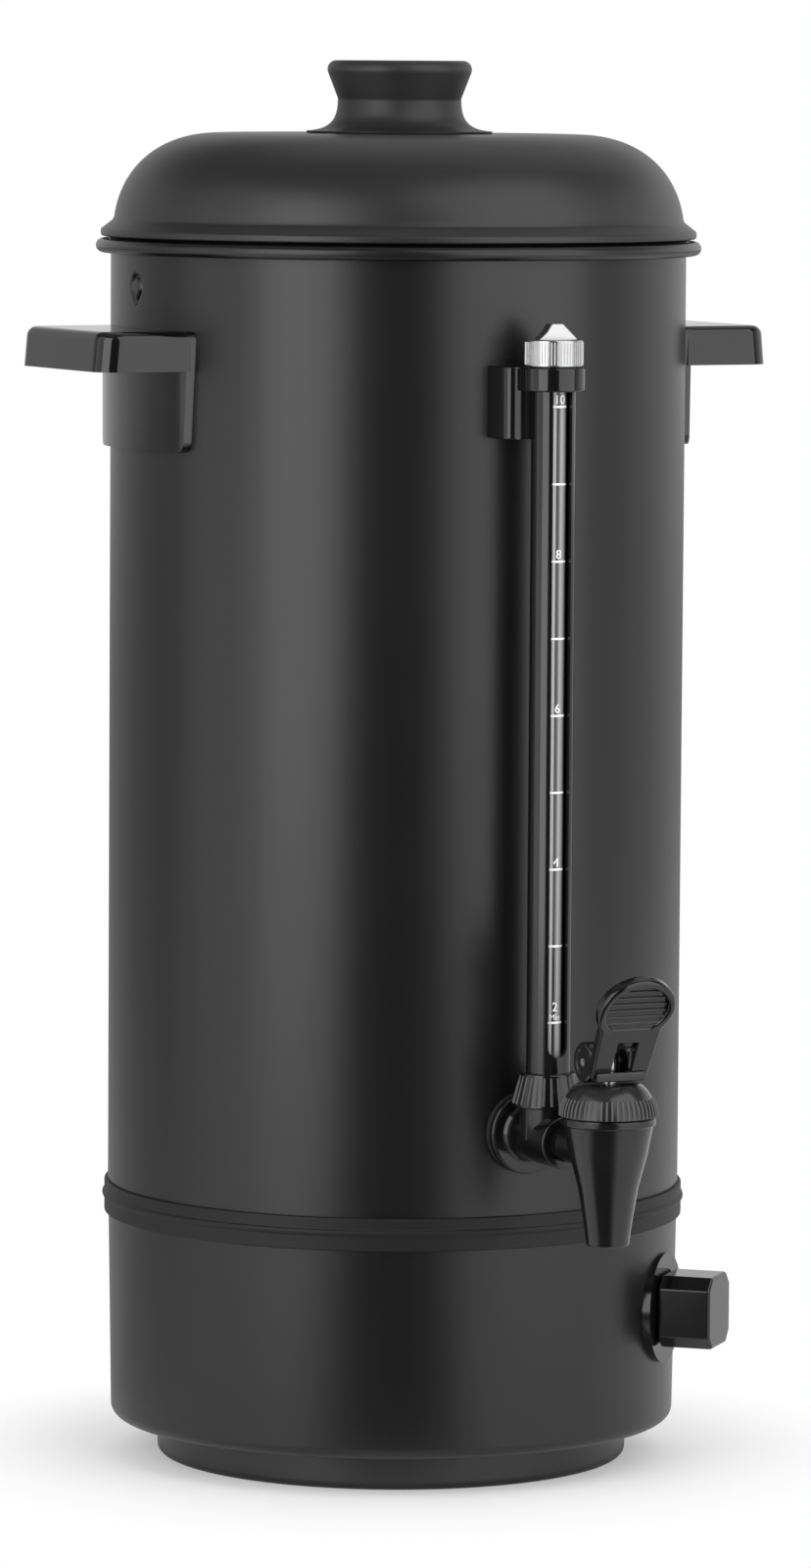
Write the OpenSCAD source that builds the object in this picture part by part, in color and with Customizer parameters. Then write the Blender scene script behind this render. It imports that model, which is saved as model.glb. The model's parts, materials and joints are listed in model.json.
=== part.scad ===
// Hot water urn: round single-wall tank with a lift-off lid, sight gauge, lever tap and heated base.
// Millimetres. The origin is the centre of the foot's flat underside, +Z is up, the tap faces -Y
// and the two handles lie along X.

/* [Tank] */
// Outer diameter of the tank
tank_d = 220; // [196:1:250]
// Thickness of the tank sheet
tank_wall = 1; // [0.8:0.1:1.3]
// Height of the seam between the base and the tank
seam_z = 99; // [88:1:125]
// Height of the tank wall, from the seam to the middle of the rim bead
tank_h = 367; // [320:1:430]
// Height of the tank floor above the seam
floor_rise = 23; // [18:1:32]
// Thickness of the tank floor
floor_t = 1.2; // [1:0.1:2]
// Section diameter of the rolled rim bead
bead_d = 6.4; // [5:0.1:8]
// Distance of the bead's middle outside the tank wall
bead_out = 2.4; // [2:0.1:3]
// Width of the pressed dimple above each handle
dimple_w = 7; // [5:0.5:12]
// Depth of the dimple
dimple_depth = 0.5; // [0.3:0.05:0.6]
// Height of the dimple's middle below the rim
dimple_drop = 15; // [13:0.5:20]

/* [Seam band] */
// Height of the band over the seam
band_h = 15; // [12:0.5:22]
// Thickness of the band
band_t = 1.25; // [1:0.05:2]
// Height of the raised bead on the band
band_bead_h = 4; // [3:0.5:6]
// How far the raised bead stands out
band_bead_out = 1; // [0.6:0.1:1.4]

/* [Base] */
// Step in from the tank wall to the top of the base
base_inset = 0.2; // [0.1:0.1:1]
// Taper of the base radius from top to bottom
base_taper = 1.2; // [0.5:0.1:3]
// Wall thickness of the base
base_wall = 1.2; // [1:0.1:2]
// Radius of the base's lower edge
base_corner = 6; // [4:0.5:12]

/* [Foot] */
// Diameter of the foot plinth
foot_d = 181; // [165:1:195]
// Height of the foot plinth
foot_h = 14.5; // [10:0.5:18]
// Wall thickness of the foot plinth
foot_wall = 3; // [2:0.5:4]
// Floor thickness of the foot plinth
foot_floor = 2.5; // [2:0.5:4]
// Radius of the foot's lower edge
foot_edge = 3; // [2:0.5:6]
// Diameter of the tie studs below the heat shield
stud_d = 10; // [8:0.5:12]
// Diameter of the screws that hold the foot
foot_screw_d = 4; // [3:0.5:5]
// Length of the foot screws' thread inside the studs
foot_screw_grip = 14; // [8:1:18]

/* [Lid] */
// Thickness of the lid sheet
lid_wall = 1; // [0.8:0.1:1.4]
// Height of the lid from its lip to its flat top
lid_h = 39.7; // [34:0.1:48]
// How far the lid's lip stands out past the tank wall
lip_out = 3.9; // [3:0.1:5]
// Step in from the tank wall to the foot of the lid's dome
dome_inset = 1.2; // [1.1:0.1:2]
// Diameter of the lid's flat top
lid_flat_d = 140; // [110:1:150]
// Depth of the locating skirt inside the tank
skirt_depth = 12; // [8:0.5:20]
// Thickness of the locating skirt
skirt_t = 1; // [0.8:0.1:1.4]

/* [Lid knob] */
// Height of the lid knob
knob_h = 27.8; // [24:0.2:34]
// Diameter of the knob's grip rim
knob_d = 55.2; // [50:0.2:62]
// Diameter of the knob's waist
knob_waist_d = 47.2; // [40:0.2:49]
// Diameter of the knob's thin foot
knob_foot_d = 71; // [64:0.5:80]
// Diameter of the knob screw
knob_screw_d = 5; // [4:0.5:6]

/* [Handles] */
// Width of each handle at its ledge
handle_w = 78; // [70:1:88]
// Height of each handle's wall plate
handle_h = 45.5; // [38:0.5:52]
// How much narrower the plate is at its lower edge
handle_taper = 4; // [2:0.5:8]
// Height of the handle's top below the rim
handle_drop = 31; // [26:0.5:40]
// Thickness of the wall plate
handle_t = 3.4; // [2.6:0.1:4]
// Height of the ledge
ledge_h = 15; // [12.5:0.5:18]
// How far the ledge stands out from the tank wall
ledge_reach = 31.5; // [26:0.5:36]
// Corner radius of the ledge
ledge_corner = 9; // [6:0.5:12]
// Wall thickness of the hollow ledge
ledge_wall = 3; // [2:0.2:3.2]
// Angle of the handle screws from the middle of the handle
handle_screw_angle = 14; // [12:0.5:15]
// Diameter of the screws through the tank wall
wall_screw_d = 4; // [3:0.5:5]
// Diameter of the sealing washers on the tank wall
washer_d = 11; // [10:0.5:13]
// Thickness of the sealing washers
washer_t = 1.2; // [0.8:0.1:2]

/* [Sight gauge] */
// Distance of the gauge axis from the tank wall
gauge_off = 20; // [18.5:0.5:24]
// Height of the bracket's top below the rim
gauge_drop = 42; // [36:0.5:60]
// Outer diameter of the guard tube
guard_d = 16; // [15:0.2:17.6]
// Wall thickness of the guard tube
guard_wall = 1.75; // [1.2:0.05:1.8]
// Width of the guard's window
window_w = 8; // [6:0.2:9]
// Outer diameter of the clear tube
glass_d = 10; // [8:0.1:10.2]
// Wall thickness of the clear tube
glass_wall = 1.5; // [1:0.1:2]
// Outer diameter of the clamp ring
ring_d = 24; // [21:0.5:28]
// Height of the clamp ring
ring_h = 8.8; // [7:0.2:12]
// Height of the bracket block
bracket_h = 26.7; // [22:0.5:34]
// Reach of the bracket block to the left of the gauge axis
bracket_left = 16.6; // [15:0.2:20]
// Reach of the bracket block to the right of the gauge axis
bracket_right = 8; // [6:0.5:12]
// Diameter of the gauge cap
cap_d = 22.6; // [20:0.2:25]
// Height of the cap's knurled part
cap_h = 10; // [8:0.2:13]
// Width of the cap's wing
wing_w = 14; // [10:0.5:18]
// Height of the cap's wing
wing_h = 6.3; // [4:0.1:9]
// Thickness of the cap's wing
wing_t = 5; // [3:0.5:7]
// Diameter of the lower nut at its top
nut_top_d = 20.7; // [19.8:0.1:24]
// Diameter of the lower nut at its foot
nut_foot_d = 26.8; // [24:0.2:30]
// Height of the lower nut
nut_h = 12.8; // [11:0.2:15]

/* [Tap mounting] */
// Height of the tap's axis above the tank floor
tap_rise = 16; // [15.5:0.5:24]
// Height of the tee's shoulder above the tap's axis
tee_rise = 12; // [11.5:0.5:15]
// Diameter of the tee's horizontal body
tee_d = 20; // [19:0.5:22]
// Diameter of the tee's upright shoulder
tee_neck_d = 20.8; // [19.2:0.2:23]
// Diameter of the wall flange
flange_d = 31; // [28:0.5:34]
// Thickness of the wall flange
flange_t = 3; // [2:0.5:4]
// Thickness of the gaskets
gasket_t = 2.5; // [2:0.1:3.5]
// Diameter of the threaded tail through the tank wall
tail_d = 17; // [15:0.5:18]
// Bore of the tail
tail_bore = 11; // [9:0.5:12]
// Width of the locknut across its flats
locknut_w = 27; // [24:0.5:29]
// Thickness of the locknut
locknut_t = 6; // [4:0.5:8]

/* [Tap] */
// Distance of the spout's axis from the tank wall
tap_off = 68.4; // [64:0.2:80]
// Diameter of the tap's shank
shank_d = 14; // [12:0.5:15]
// Bore of the tap's shank
shank_bore = 9; // [7:0.5:10]
// Length of the shank inside the tee
shank_grip = 8; // [5:0.5:9]
// Drop from the tap's axis to the spout's mouth
spout_drop = 33.5; // [28:0.5:42]
// Diameter of the spout at its mouth
spout_tip_d = 18.8; // [17:0.2:22]
// Diameter of the spout under its rim
spout_top_d = 32; // [30:0.2:34]
// Bore of the spout's mouth
spout_bore = 13; // [10:0.5:13.5]
// Drop from the tap's axis to the valve seat
seat_drop = 10; // [9:0.5:11]
// Diameter of the spout's rim
rim_d = 37; // [35:0.5:40]
// Height of the spout's rim
rim_h = 5.2; // [4:0.2:7]
// Height of the rim's top above the tap's axis
rim_rise = 14; // [12:0.5:18]
// Diameter of the neck inside the bonnet
neck_d = 29; // [27:0.5:30]
// Height of the neck inside the bonnet
neck_h = 5; // [4:0.5:6]
// Height of the bonnet
bonnet_h = 12.4; // [11.5:0.2:16]
// Diameter of the bonnet's flat top
bonnet_top_d = 22; // [18:0.5:24]
// Thickness of the bonnet's crown
crown_t = 3.5; // [2.5:0.5:4.5]
// Diameter of the stem
stem_d = 5; // [4:0.2:6]
// Diameter of the stem's head
stem_head_d = 6.8; // [6.4:0.1:7.2]
// Diameter of the seat cup
cup_d = 17; // [15.5:0.5:18]
// Wire diameter of the tap spring
spring_wire = 1.2; // [0.8:0.1:1.5]
// Turns of the tap spring
spring_turns = 6; // [4:1:8]

/* [Lever] */
// Height of the lever's pivot above the bonnet
pivot_rise = 8.1; // [7.9:0.1:10]
// Radius of the lever's round cheeks
cheek_r = 7.5; // [6:0.1:7.6]
// Width of the lever's neck
lever_w = 23; // [20:0.5:26]
// Width of the opening between the lever's cheeks
lever_gap = 8; // [7.6:0.1:10]
// Lean of the lever from upright
lever_lean = 27; // [15:1:35]
// Thickness of the lever's blade
blade_t = 4.5; // [3:0.5:6]
// Width of the thumb pad
pad_w = 31; // [27:0.5:34]
// Length of the thumb pad
pad_l = 27; // [24:0.5:32]
// Distance from the pivot to the middle of the thumb pad
pad_reach = 28; // [26:0.5:34]
// Height of the thumb pad's rim and ribs
rib_h = 1; // [0.6:0.1:1.5]
// Number of ribs on the thumb pad
rib_count = 7; // [5:1:9]
// Diameter of the lever's pin
pin_d = 3; // [2:0.2:3.4]

/* [Control] */
// Width of the thermostat knob across its flats
control_w = 27.5; // [26:0.5:34]
// Corner chamfer of the thermostat knob
control_chamfer = 4.5; // [3:0.5:6]
// Height of the thermostat knob above the middle of the base
control_rise = 5; // [0:0.5:8]
// How far the thermostat knob stands out from the base
control_reach = 23; // [20:0.5:30]
// Direction of the knob round the base, from +X
control_angle = -45; // [-60:1:-30]
// Diameter of the dial plate behind the knob
dial_d = 42; // [40:0.5:46]
// Thickness of the dial plate at its middle
dial_t = 1.5; // [1:0.1:2.5]
// Diameter of the thermostat's shaft
shaft_d = 6; // [5:0.2:6.4]
// Diameter of the thermostat's threaded bush
bush_d = 9; // [8.4:0.2:10]
// Width of the thermostat's body
thermostat_w = 34; // [28:1:40]
// Height of the thermostat's body
thermostat_h = 24; // [20:1:28]
// Depth of the thermostat's body
thermostat_depth = 18; // [16:1:24]

/* [Heater] */
// Thickness of the heater plate
heater_t = 4; // [3:0.5:6]
// Tube diameter of the ring element
element_d = 8; // [6:0.5:9]
// Distance of the ring element inside the heater plate's edge
element_inset = 18; // [12:1:24]
// Height of the heat shield below the seam
shield_drop = 16; // [12:0.5:20]
// Thickness of the heat shield
shield_t = 0.8; // [0.6:0.1:1.2]
// Diameter of the thermal cutout
cutout_d = 16; // [14:0.5:20]

/* [Mains inlet] */
// Width of the inlet's flange
inlet_flange_w = 50; // [48:0.5:54]
// Height of the inlet's flange
inlet_flange_h = 28; // [26:0.5:32]
// Thickness of the inlet's flange at its middle
inlet_flange_t = 3; // [2:0.2:4]
// Width of the socket
socket_w = 24.4; // [24:0.1:25]
// Height of the socket
socket_h = 16.7; // [16.4:0.1:17.4]
// Depth of the socket
socket_depth = 16.5; // [16:0.5:18]
// Wall thickness round the socket
socket_wall = 2; // [1.5:0.1:2.4]
// Distance between the inlet's screws
inlet_screw_gap = 40; // [38:0.5:42]

/* [Fits] */
// Clearance between pieces that stay together
fit = 0.1; // [0.05:0.01:0.2]
// Running clearance of turning and sliding pieces, on the radius
run = 0.05; // [0.02:0.01:0.1]
// Gap between faces that move apart
free = 0.3; // [0.2:0.05:0.5]

/* [Hidden] */
$fn = 96;

satin_black = [0.10, 0.10, 0.105];
gloss_black = [0.05, 0.05, 0.052];
steel = [0.68, 0.69, 0.70];
chrome = [0.82, 0.83, 0.84];
brass = [0.80, 0.66, 0.36];
clear = [0.80, 0.88, 0.90, 0.45];
rubber = [0.20, 0.20, 0.20];
silicone = [0.82, 0.80, 0.76];
ceramic = [0.88, 0.86, 0.80];

// A little past a face, so that cuts leave no skin
over = 1;
curve_steps = 16;
corner_steps = 8;
// Sides of the wide circles that thin pieces bear on
wide_fn = 360;

// Main radii and heights
tank_r = tank_d / 2;
tank_in_r = tank_r - tank_wall;
rim_z = seam_z + tank_h;
floor_z = seam_z + floor_rise;
floor_under = floor_z - floor_t;
base_top_r = tank_r - base_inset;
base_low_r = base_top_r - base_taper;
mid_z = (foot_h + seam_z) / 2;
band_lift = 0.8;
base_slope = base_taper / (seam_z - foot_h - base_corner);
base_mid_r = base_low_r + base_slope * (mid_z - foot_h - base_corner);
base_mid_in = base_mid_r - base_wall;

// Foot, studs and heater
foot_r = foot_d / 2;
boss_r = foot_screw_d / 2 + 4;
stud_ring = foot_r - foot_wall - boss_r - 5;
stud_angles = [30, 150, 270];
flange_in_r = stud_ring - boss_r - 6;
shield_z = seam_z - shield_drop;
shield_hole_d = cutout_d * 1.5;
stud_top_d = stud_d - 2;
heater_r = stud_ring - stud_d / 2 - 5;
heater_under = floor_under - heater_t;
foot_head_d = foot_screw_d * 2;
foot_head_h = foot_screw_d * 0.7;
foot_head_seat = foot_h / 2;

// Lid
lid_z = rim_z + bead_d / 2 + free;
dome_r = tank_r - dome_inset;
lid_in_r = dome_r - lid_wall;
lip_r = tank_r + lip_out;
lip_h = 6.7;
dome_line = [[dome_r, lip_h], [dome_r - 2.4, lid_h - 14.7], [lid_flat_d / 2 + 23, lid_h - 0.5],
    [lid_flat_d / 2, lid_h]];
knob_z = lid_z + lid_h;
knob_head_d = knob_screw_d * 2;
knob_head_h = knob_screw_d * 0.6;
knob_screw_grip = knob_h * 0.6;

// Handles
handle_z = rim_z - handle_drop;
ledge_z = handle_z - ledge_h;
plate_r = tank_r + handle_t;
ledge_r = tank_r + ledge_reach;
boss_z = ledge_z + (ledge_h - ledge_wall) / 2;
handle_boss_d = min(wall_screw_d + 4, ledge_h - ledge_wall - 1);
handle_boss_l = 14;
washer_in_r = tank_in_r - fit - washer_t;
head_d = wall_screw_d * 2;
head_h = wall_screw_d * 0.65;
head_r = washer_in_r - fit - head_d * head_d / 8 / washer_in_r;

// Sight gauge
tap_z = floor_z + tap_rise;
gauge_y = -(tank_r + gauge_off);
tee_top = tap_z + tee_rise;
nut_top = tee_top + nut_h;
guard_seat = 3;
guard_z = nut_top - guard_seat;
bracket_top = rim_z - gauge_drop;
guard_top = bracket_top + 1.3;
ring_z = bracket_top - ring_h;
bracket_z = bracket_top - bracket_h;
bracket_front = gauge_off - 4.7;
guard_in_d = guard_d - 2 * guard_wall;
glass_rise = 8;
glass_z = tap_z + glass_rise;
glass_top = guard_top + 2;
seal_d = (guard_in_d - glass_d) / 2 - 2 * run;
spigot_d = guard_d;
spigot_h = 6;
cap_z = bracket_top + free;
bracket_screw_x = -(bracket_left - bracket_right) / 2 - 3;
bracket_screw_z = bracket_z + wall_screw_d + 3;
bracket_screw_angle = asin(bracket_screw_x / tank_in_r) - 90;

// Tap
tap_y = -(tank_r + tap_off);
flange_y = tank_r + gasket_t;
tee_nose = 5;
tee_end = gauge_off + tee_neck_d / 2 + tee_nose;
tail_spare = 3;
tail_start = tank_in_r - gasket_t - locknut_t - tail_spare;
seat_z = tap_z - seat_drop;
mouth_z = tap_z - spout_drop;
rim_top = tap_z + rim_rise;
bonnet_top = rim_top + bonnet_h;
ceiling_z = bonnet_top - crown_t;
chamber_d = neck_d - 5;
pivot_z = bonnet_top + pivot_rise;
cup_z = seat_z + free;
cup_h = 4.2;
cup_hub_d = stem_d + 5;
cup_hub_h = 8.5;
spring_z = cup_z + cup_h + free;
spring_r = cup_hub_d / 2 + 0.6 + spring_wire / 2;
spring_h = ceiling_z - spring_z - spring_wire;
spring_sides = 8;
spring_rings = 16;

// Lever
cheek_w = (lever_w - lever_gap) / 2 - 0.5;
blade_in = 5.2;
blade_low = 1.5;
window_edge = 0.6;
blade_out = blade_in + blade_t;
pad_rim = 2.2;
rib_pitch = (pad_l - 2 * pad_rim) / (rib_count + 1);
foot_bar_t = 3.4;
foot_bar_out = 2.4;
foot_bar_in = 2.4;
foot_bar_skin = 1.7;
foot_bar_y = -cheek_r - foot_bar_out;

// Control
control_z = mid_z + control_rise;
control_r = base_mid_r + base_slope * control_rise;
control_in = control_r - base_wall;
control_seat = control_r + dial_t;
control_nut_w = bush_d + 4;
control_nut_t = 3;
bush_end = control_seat + control_nut_t + 1;
control_back = control_seat + 2 * free;
control_front = control_r + control_reach;
control_pocket = bush_end + 1;
shaft_end = control_front - 5;
shaft_start = control_r - 14;
thermostat_low_in = control_in - base_slope * thermostat_h / 2;
thermostat_front = sqrt(thermostat_low_in * thermostat_low_in - thermostat_w * thermostat_w / 4) - free;

// Mains inlet
inlet_angle = 90;
inlet_front = base_mid_r + inlet_flange_t;
socket_back = inlet_front - socket_depth;
inlet_body_w = socket_w + 2 * socket_wall;
inlet_body_h = socket_h + 2 * socket_wall;
inlet_back = socket_back - 3;
pin_places = [[-3.5, 7], [-3.5, -7], [3.5, 0]];
pin_w = 4;
pin_t = 2;
pin_tail = 8;
pin_short = 5.5;
inlet_screw_d = 3;

// Points of an arc about c, from angle a to angle b
function arc(c, r, a, b, n) = [for (i = [0 : n]) c + r * [cos(a + (b - a) * i / n), sin(a + (b - a) * i / n)]];

// A point and the direction of a cubic curve through four control points
function bend(p, t) = pow(1 - t, 3) * p[0] + 3 * t * pow(1 - t, 2) * p[1]
    + 3 * t * t * (1 - t) * p[2] + pow(t, 3) * p[3];
function bend_way(p, t) = 3 * pow(1 - t, 2) * (p[1] - p[0]) + 6 * t * (1 - t) * (p[2] - p[1])
    + 3 * t * t * (p[3] - p[2]);
function curve(p, n) = [for (i = [0 : n]) bend(p, i / n)];

// The same curve moved to its left by d, drawn from its end to its start
function inner_curve(p, n, d) = [for (i = [n : -1 : 0])
    let (way = bend_way(p, i / n)) bend(p, i / n) + d * [-way[1], way[0]] / norm(way)];

function oval(w, l, n) = [for (i = [0 : n - 1]) [w / 2 * cos(360 * i / n), l / 2 * sin(360 * i / n)]];

// Outline of the base housing's outside, from the foot to the seam, grown by extra
function base_line(extra) = concat(
    arc([base_low_r + extra - base_corner, foot_h + base_corner], base_corner, -90, 0, corner_steps),
    [[base_top_r + extra, seam_z]]);

// Children stand on a line from the tank's axis at this angle and height, with their Z outward
module radial(angle, z) {
    rotate([0, 0, angle])
        translate([0, 0, z])
            rotate([0, 90, 0])
                children();
}

module tube(d_out, d_in, h) {
    difference() {
        cylinder(d = d_out, h = h);
        translate([0, 0, -over])
            cylinder(d = d_in, h = h + 2 * over);
    }
}

// Space inside the outside of the base housing, grown by extra
module base_space(extra) {
    rotate_extrude($fn = wide_fn)
        polygon(concat([[0, foot_h]], base_line(extra), [[0, seam_z]]));
}

// Space inside a plain tank cylinder of this radius, round the height z
module tank_space(r, z) {
    translate([0, 0, z - tank_d / 4])
        cylinder(r = r, h = tank_d / 2, $fn = wide_fn);
}

module drop_outline() {
    circle(d = dimple_w);
    polygon([[dimple_w * 0.5, 0], [0, dimple_w * 0.5], [-dimple_w * 0.72, 0], [0, -dimple_w * 0.5]]);
}

module tank_shell() {
    color(satin_black)
        difference() {
            rotate_extrude() {
                translate([tank_in_r, seam_z])
                    square([tank_wall, tank_h]);
                translate([tank_r + bead_out, rim_z])
                    circle(d = bead_d, $fn = 48);
            }
            for (side = [0, 180])
                radial(side, rim_z - dimple_drop)
                    translate([0, 0, tank_r - dimple_depth])
                        rotate([0, 0, 180])
                            linear_extrude(dimple_depth + over)
                                drop_outline();
            for (side = [0, 180], angle = [-handle_screw_angle, handle_screw_angle])
                radial(side + angle, boss_z)
                    translate([0, 0, tank_in_r - 2 * over])
                        cylinder(d = wall_screw_d + 4 * fit, h = 4 * over);
            radial(bracket_screw_angle, bracket_screw_z)
                translate([0, 0, tank_in_r - 2 * over])
                    cylinder(d = wall_screw_d + 4 * fit, h = 4 * over);
            radial(-90, tap_z)
                translate([0, 0, tank_in_r - 2 * over])
                    cylinder(d = tail_d + 4 * fit, h = 4 * over);
        }
}

module tank_floor() {
    color(steel)
        difference() {
            translate([0, 0, seam_z + 2])
                cylinder(r = tank_in_r - fit, h = floor_rise - 2);
            translate([0, 0, seam_z])
                cylinder(r = tank_in_r - fit - floor_t, h = floor_under - seam_z);
        }
}

module seam_band() {
    band_in = tank_r + fit;
    band_r = band_in + band_t;
    band_mid = seam_z + band_lift;
    bulge = (band_bead_h * band_bead_h / 4 + band_bead_out * band_bead_out) / 2 / band_bead_out;
    color(satin_black)
        rotate_extrude()
            difference() {
                union() {
                    translate([band_in, band_mid - band_h / 2])
                        square([band_t, band_h]);
                    translate([band_r + band_bead_out - bulge, band_mid + 1])
                        circle(r = bulge, $fn = 48);
                }
                translate([band_in - 2 * bulge, band_mid - band_h])
                    square([2 * bulge, 2 * band_h]);
            }
}

module base_housing() {
    color(satin_black)
        difference() {
            base_space(0);
            translate([0, 0, foot_h + base_wall])
                rotate_extrude($fn = wide_fn)
                    polygon(concat([[0, 0]],
                        arc([base_low_r - base_corner, base_corner - base_wall],
                            base_corner - base_wall, -90, 0, corner_steps),
                        [[base_top_r - base_wall, seam_z - foot_h], [0, seam_z - foot_h]]));
            translate([0, 0, foot_h - over])
                cylinder(r = flange_in_r, h = base_wall + 2 * over);
            for (angle = stud_angles)
                rotate([0, 0, angle])
                    translate([stud_ring, 0, foot_h - over])
                        cylinder(d = foot_screw_d + 4 * fit, h = base_wall + 2 * over);
            radial(control_angle, control_z)
                translate([0, 0, control_in - 2 * over])
                    cylinder(d = bush_d + 2 * fit, h = base_wall + 4 * over);
            radial(inlet_angle, mid_z)
                translate([0, 0, base_mid_in - 3 * over])
                    linear_extrude(base_wall + 6 * over) {
                        square([inlet_body_h + 2 * fit, inlet_body_w + 2 * fit], center = true);
                        for (side = [-1, 1])
                            translate([0, side * inlet_screw_gap / 2])
                                circle(d = inlet_screw_d + 2 * fit);
                    }
        }
}

module foot_plinth() {
    color(satin_black)
        difference() {
            union() {
                difference() {
                    rotate_extrude()
                        polygon(concat([[0, 0]],
                            arc([foot_r - foot_edge, foot_edge], foot_edge, -90, 0, corner_steps),
                            [[foot_r, foot_h], [0, foot_h]]));
                    translate([0, 0, foot_floor])
                        cylinder(r = foot_r - foot_wall - max(0, foot_edge - foot_floor) / 2, h = foot_h);
                }
                for (angle = stud_angles)
                    rotate([0, 0, angle])
                        translate([stud_ring, 0, foot_floor / 2])
                            cylinder(r = boss_r, h = foot_h - foot_floor / 2);
            }
            for (angle = stud_angles)
                rotate([0, 0, angle])
                    translate([stud_ring, 0, -over]) {
                        cylinder(d = foot_screw_d + 4 * fit, h = foot_h + 2 * over);
                        cylinder(d = foot_head_d + 4 * fit, h = foot_head_seat + over);
                    }
        }
}

module tie_studs() {
    stud_z = foot_h + base_wall;
    color(steel)
        for (angle = stud_angles)
            rotate([0, 0, angle])
                translate([stud_ring, 0, 0])
                    difference() {
                        union() {
                            translate([0, 0, stud_z])
                                cylinder(d = stud_d, h = shield_z - stud_z);
                            translate([0, 0, stud_z])
                                cylinder(d = stud_top_d, h = floor_under - stud_z);
                        }
                        translate([0, 0, stud_z - over])
                            cylinder(d = foot_screw_d + 2 * fit, h = foot_screw_grip + 2 + over);
                    }
}

module foot_screws() {
    color(steel)
        for (angle = stud_angles)
            rotate([0, 0, angle])
                translate([stud_ring, 0, foot_head_seat]) {
                    translate([0, 0, -foot_head_h])
                        cylinder(d = foot_head_d, h = foot_head_h);
                    cylinder(d = foot_screw_d, h = foot_h + base_wall + foot_screw_grip - foot_head_seat);
                }
}

module lid_shell() {
    color(satin_black)
        translate([0, 0, lid_z])
            rotate_extrude()
                polygon(concat(
                    [[lid_in_r, 0], [lip_r - 2.9, 0], [lip_r, 1.1], [lip_r, 1.7], [dome_r + 0.6, lip_h - 1.5]],
                    curve(dome_line, curve_steps),
                    [[knob_screw_d / 2 + fit, lid_h], [knob_screw_d / 2 + fit, lid_h - lid_wall]],
                    inner_curve(dome_line, curve_steps, lid_wall)));
}

module lid_skirt() {
    color(steel)
        translate([0, 0, lid_z - skirt_depth])
            tube(2 * (lid_in_r - fit), 2 * (lid_in_r - fit - skirt_t), skirt_depth + lip_h - 0.7);
}

module lid_knob() {
    foot_r = knob_foot_d / 2;
    waist_r = knob_waist_d / 2;
    grip_r = knob_d / 2;
    waist_h = knob_h * 0.48;
    edge = 3.4;
    flare = [[foot_r, 1], [waist_r + 2.4, 1.5], [waist_r, 5.5], [waist_r, waist_h]];
    color(gloss_black)
        translate([0, 0, knob_z])
            difference() {
                rotate_extrude()
                    polygon(concat(
                        [[0, 0], [foot_r, 0]],
                        curve(flare, curve_steps),
                        arc([grip_r - edge, knob_h - edge], edge, -20, 90, corner_steps),
                        [[0, knob_h]]));
                translate([0, 0, -over])
                    cylinder(d = knob_screw_d + 2 * fit, h = knob_screw_grip + 1 + over);
            }
}

module knob_screw() {
    color(steel)
        translate([0, 0, knob_z - lid_wall]) {
            translate([0, 0, -knob_head_h])
                cylinder(d = knob_head_d, h = knob_head_h);
            cylinder(d = knob_screw_d, h = lid_wall + knob_screw_grip);
        }
}

// Plan of the ledge out to reach r and half width w, with rounded outer corners
module ledge_plan(r, w, corner) {
    polygon(concat(
        [[0, -w]],
        arc([r - corner, corner - w], corner, -90, 0, corner_steps),
        arc([r - corner, w - corner], corner, 0, 90, corner_steps),
        [[0, w]]));
}

// Wall plate outline in the Y and Z plane, with rounded lower corners
module plate_outline() {
    low = handle_w / 2 - handle_taper / 2;
    foot = handle_z - handle_h;
    round_r = 4;
    polygon(concat(
        [[handle_w / 2, handle_z], [-handle_w / 2, handle_z]],
        arc([round_r - low, foot + round_r], round_r, 180, 270, corner_steps),
        arc([low - round_r, foot + round_r], round_r, 270, 360, corner_steps)));
}

module handle() {
    color(gloss_black)
        difference() {
            union() {
                intersection() {
                    tank_space(plate_r, handle_z);
                    translate([tank_r * 0.7, 0, 0])
                        rotate([90, 0, 90])
                            linear_extrude(tank_r)
                                plate_outline();
                }
                difference() {
                    translate([0, 0, ledge_z])
                        linear_extrude(ledge_h)
                            ledge_plan(ledge_r, handle_w / 2, ledge_corner);
                    difference() {
                        translate([0, 0, ledge_z - over])
                            linear_extrude(ledge_h - ledge_wall + over)
                                ledge_plan(ledge_r - ledge_wall, handle_w / 2 - ledge_wall,
                                    ledge_corner - ledge_wall);
                        tank_space(plate_r, handle_z);
                    }
                }
                for (angle = [-handle_screw_angle, handle_screw_angle])
                    radial(angle, boss_z)
                        cylinder(d = handle_boss_d, h = tank_r + handle_boss_l);
            }
            tank_space(tank_r + fit, handle_z);
            for (angle = [-handle_screw_angle, handle_screw_angle])
                radial(angle, boss_z)
                    cylinder(d = wall_screw_d + 2 * fit, h = tank_r + handle_boss_l - 2);
        }
}

module left_handle() {
    rotate([0, 0, 180])
        handle();
}

module right_handle() {
    handle();
}

module wall_screw(angle, z, length) {
    radial(angle, z) {
        translate([0, 0, head_r - head_h])
            cylinder(d = head_d, h = head_h);
        translate([0, 0, head_r - over])
            cylinder(d = wall_screw_d, h = tank_r + length - head_r + over);
    }
}

module wall_washer(angle, z) {
    difference() {
        intersection() {
            radial(angle, z)
                cylinder(d = washer_d, h = tank_r);
            tank_space(tank_in_r - fit, z);
        }
        tank_space(washer_in_r, z);
        radial(angle, z)
            cylinder(d = wall_screw_d + 2 * fit, h = tank_r);
    }
}

module handle_screws() {
    color(steel)
        for (side = [0, 180], angle = [-handle_screw_angle, handle_screw_angle])
            wall_screw(side + angle, boss_z, handle_boss_l - 3);
}

module handle_washers() {
    color(silicone)
        for (side = [0, 180], angle = [-handle_screw_angle, handle_screw_angle])
            wall_washer(side + angle, boss_z);
}

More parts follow.
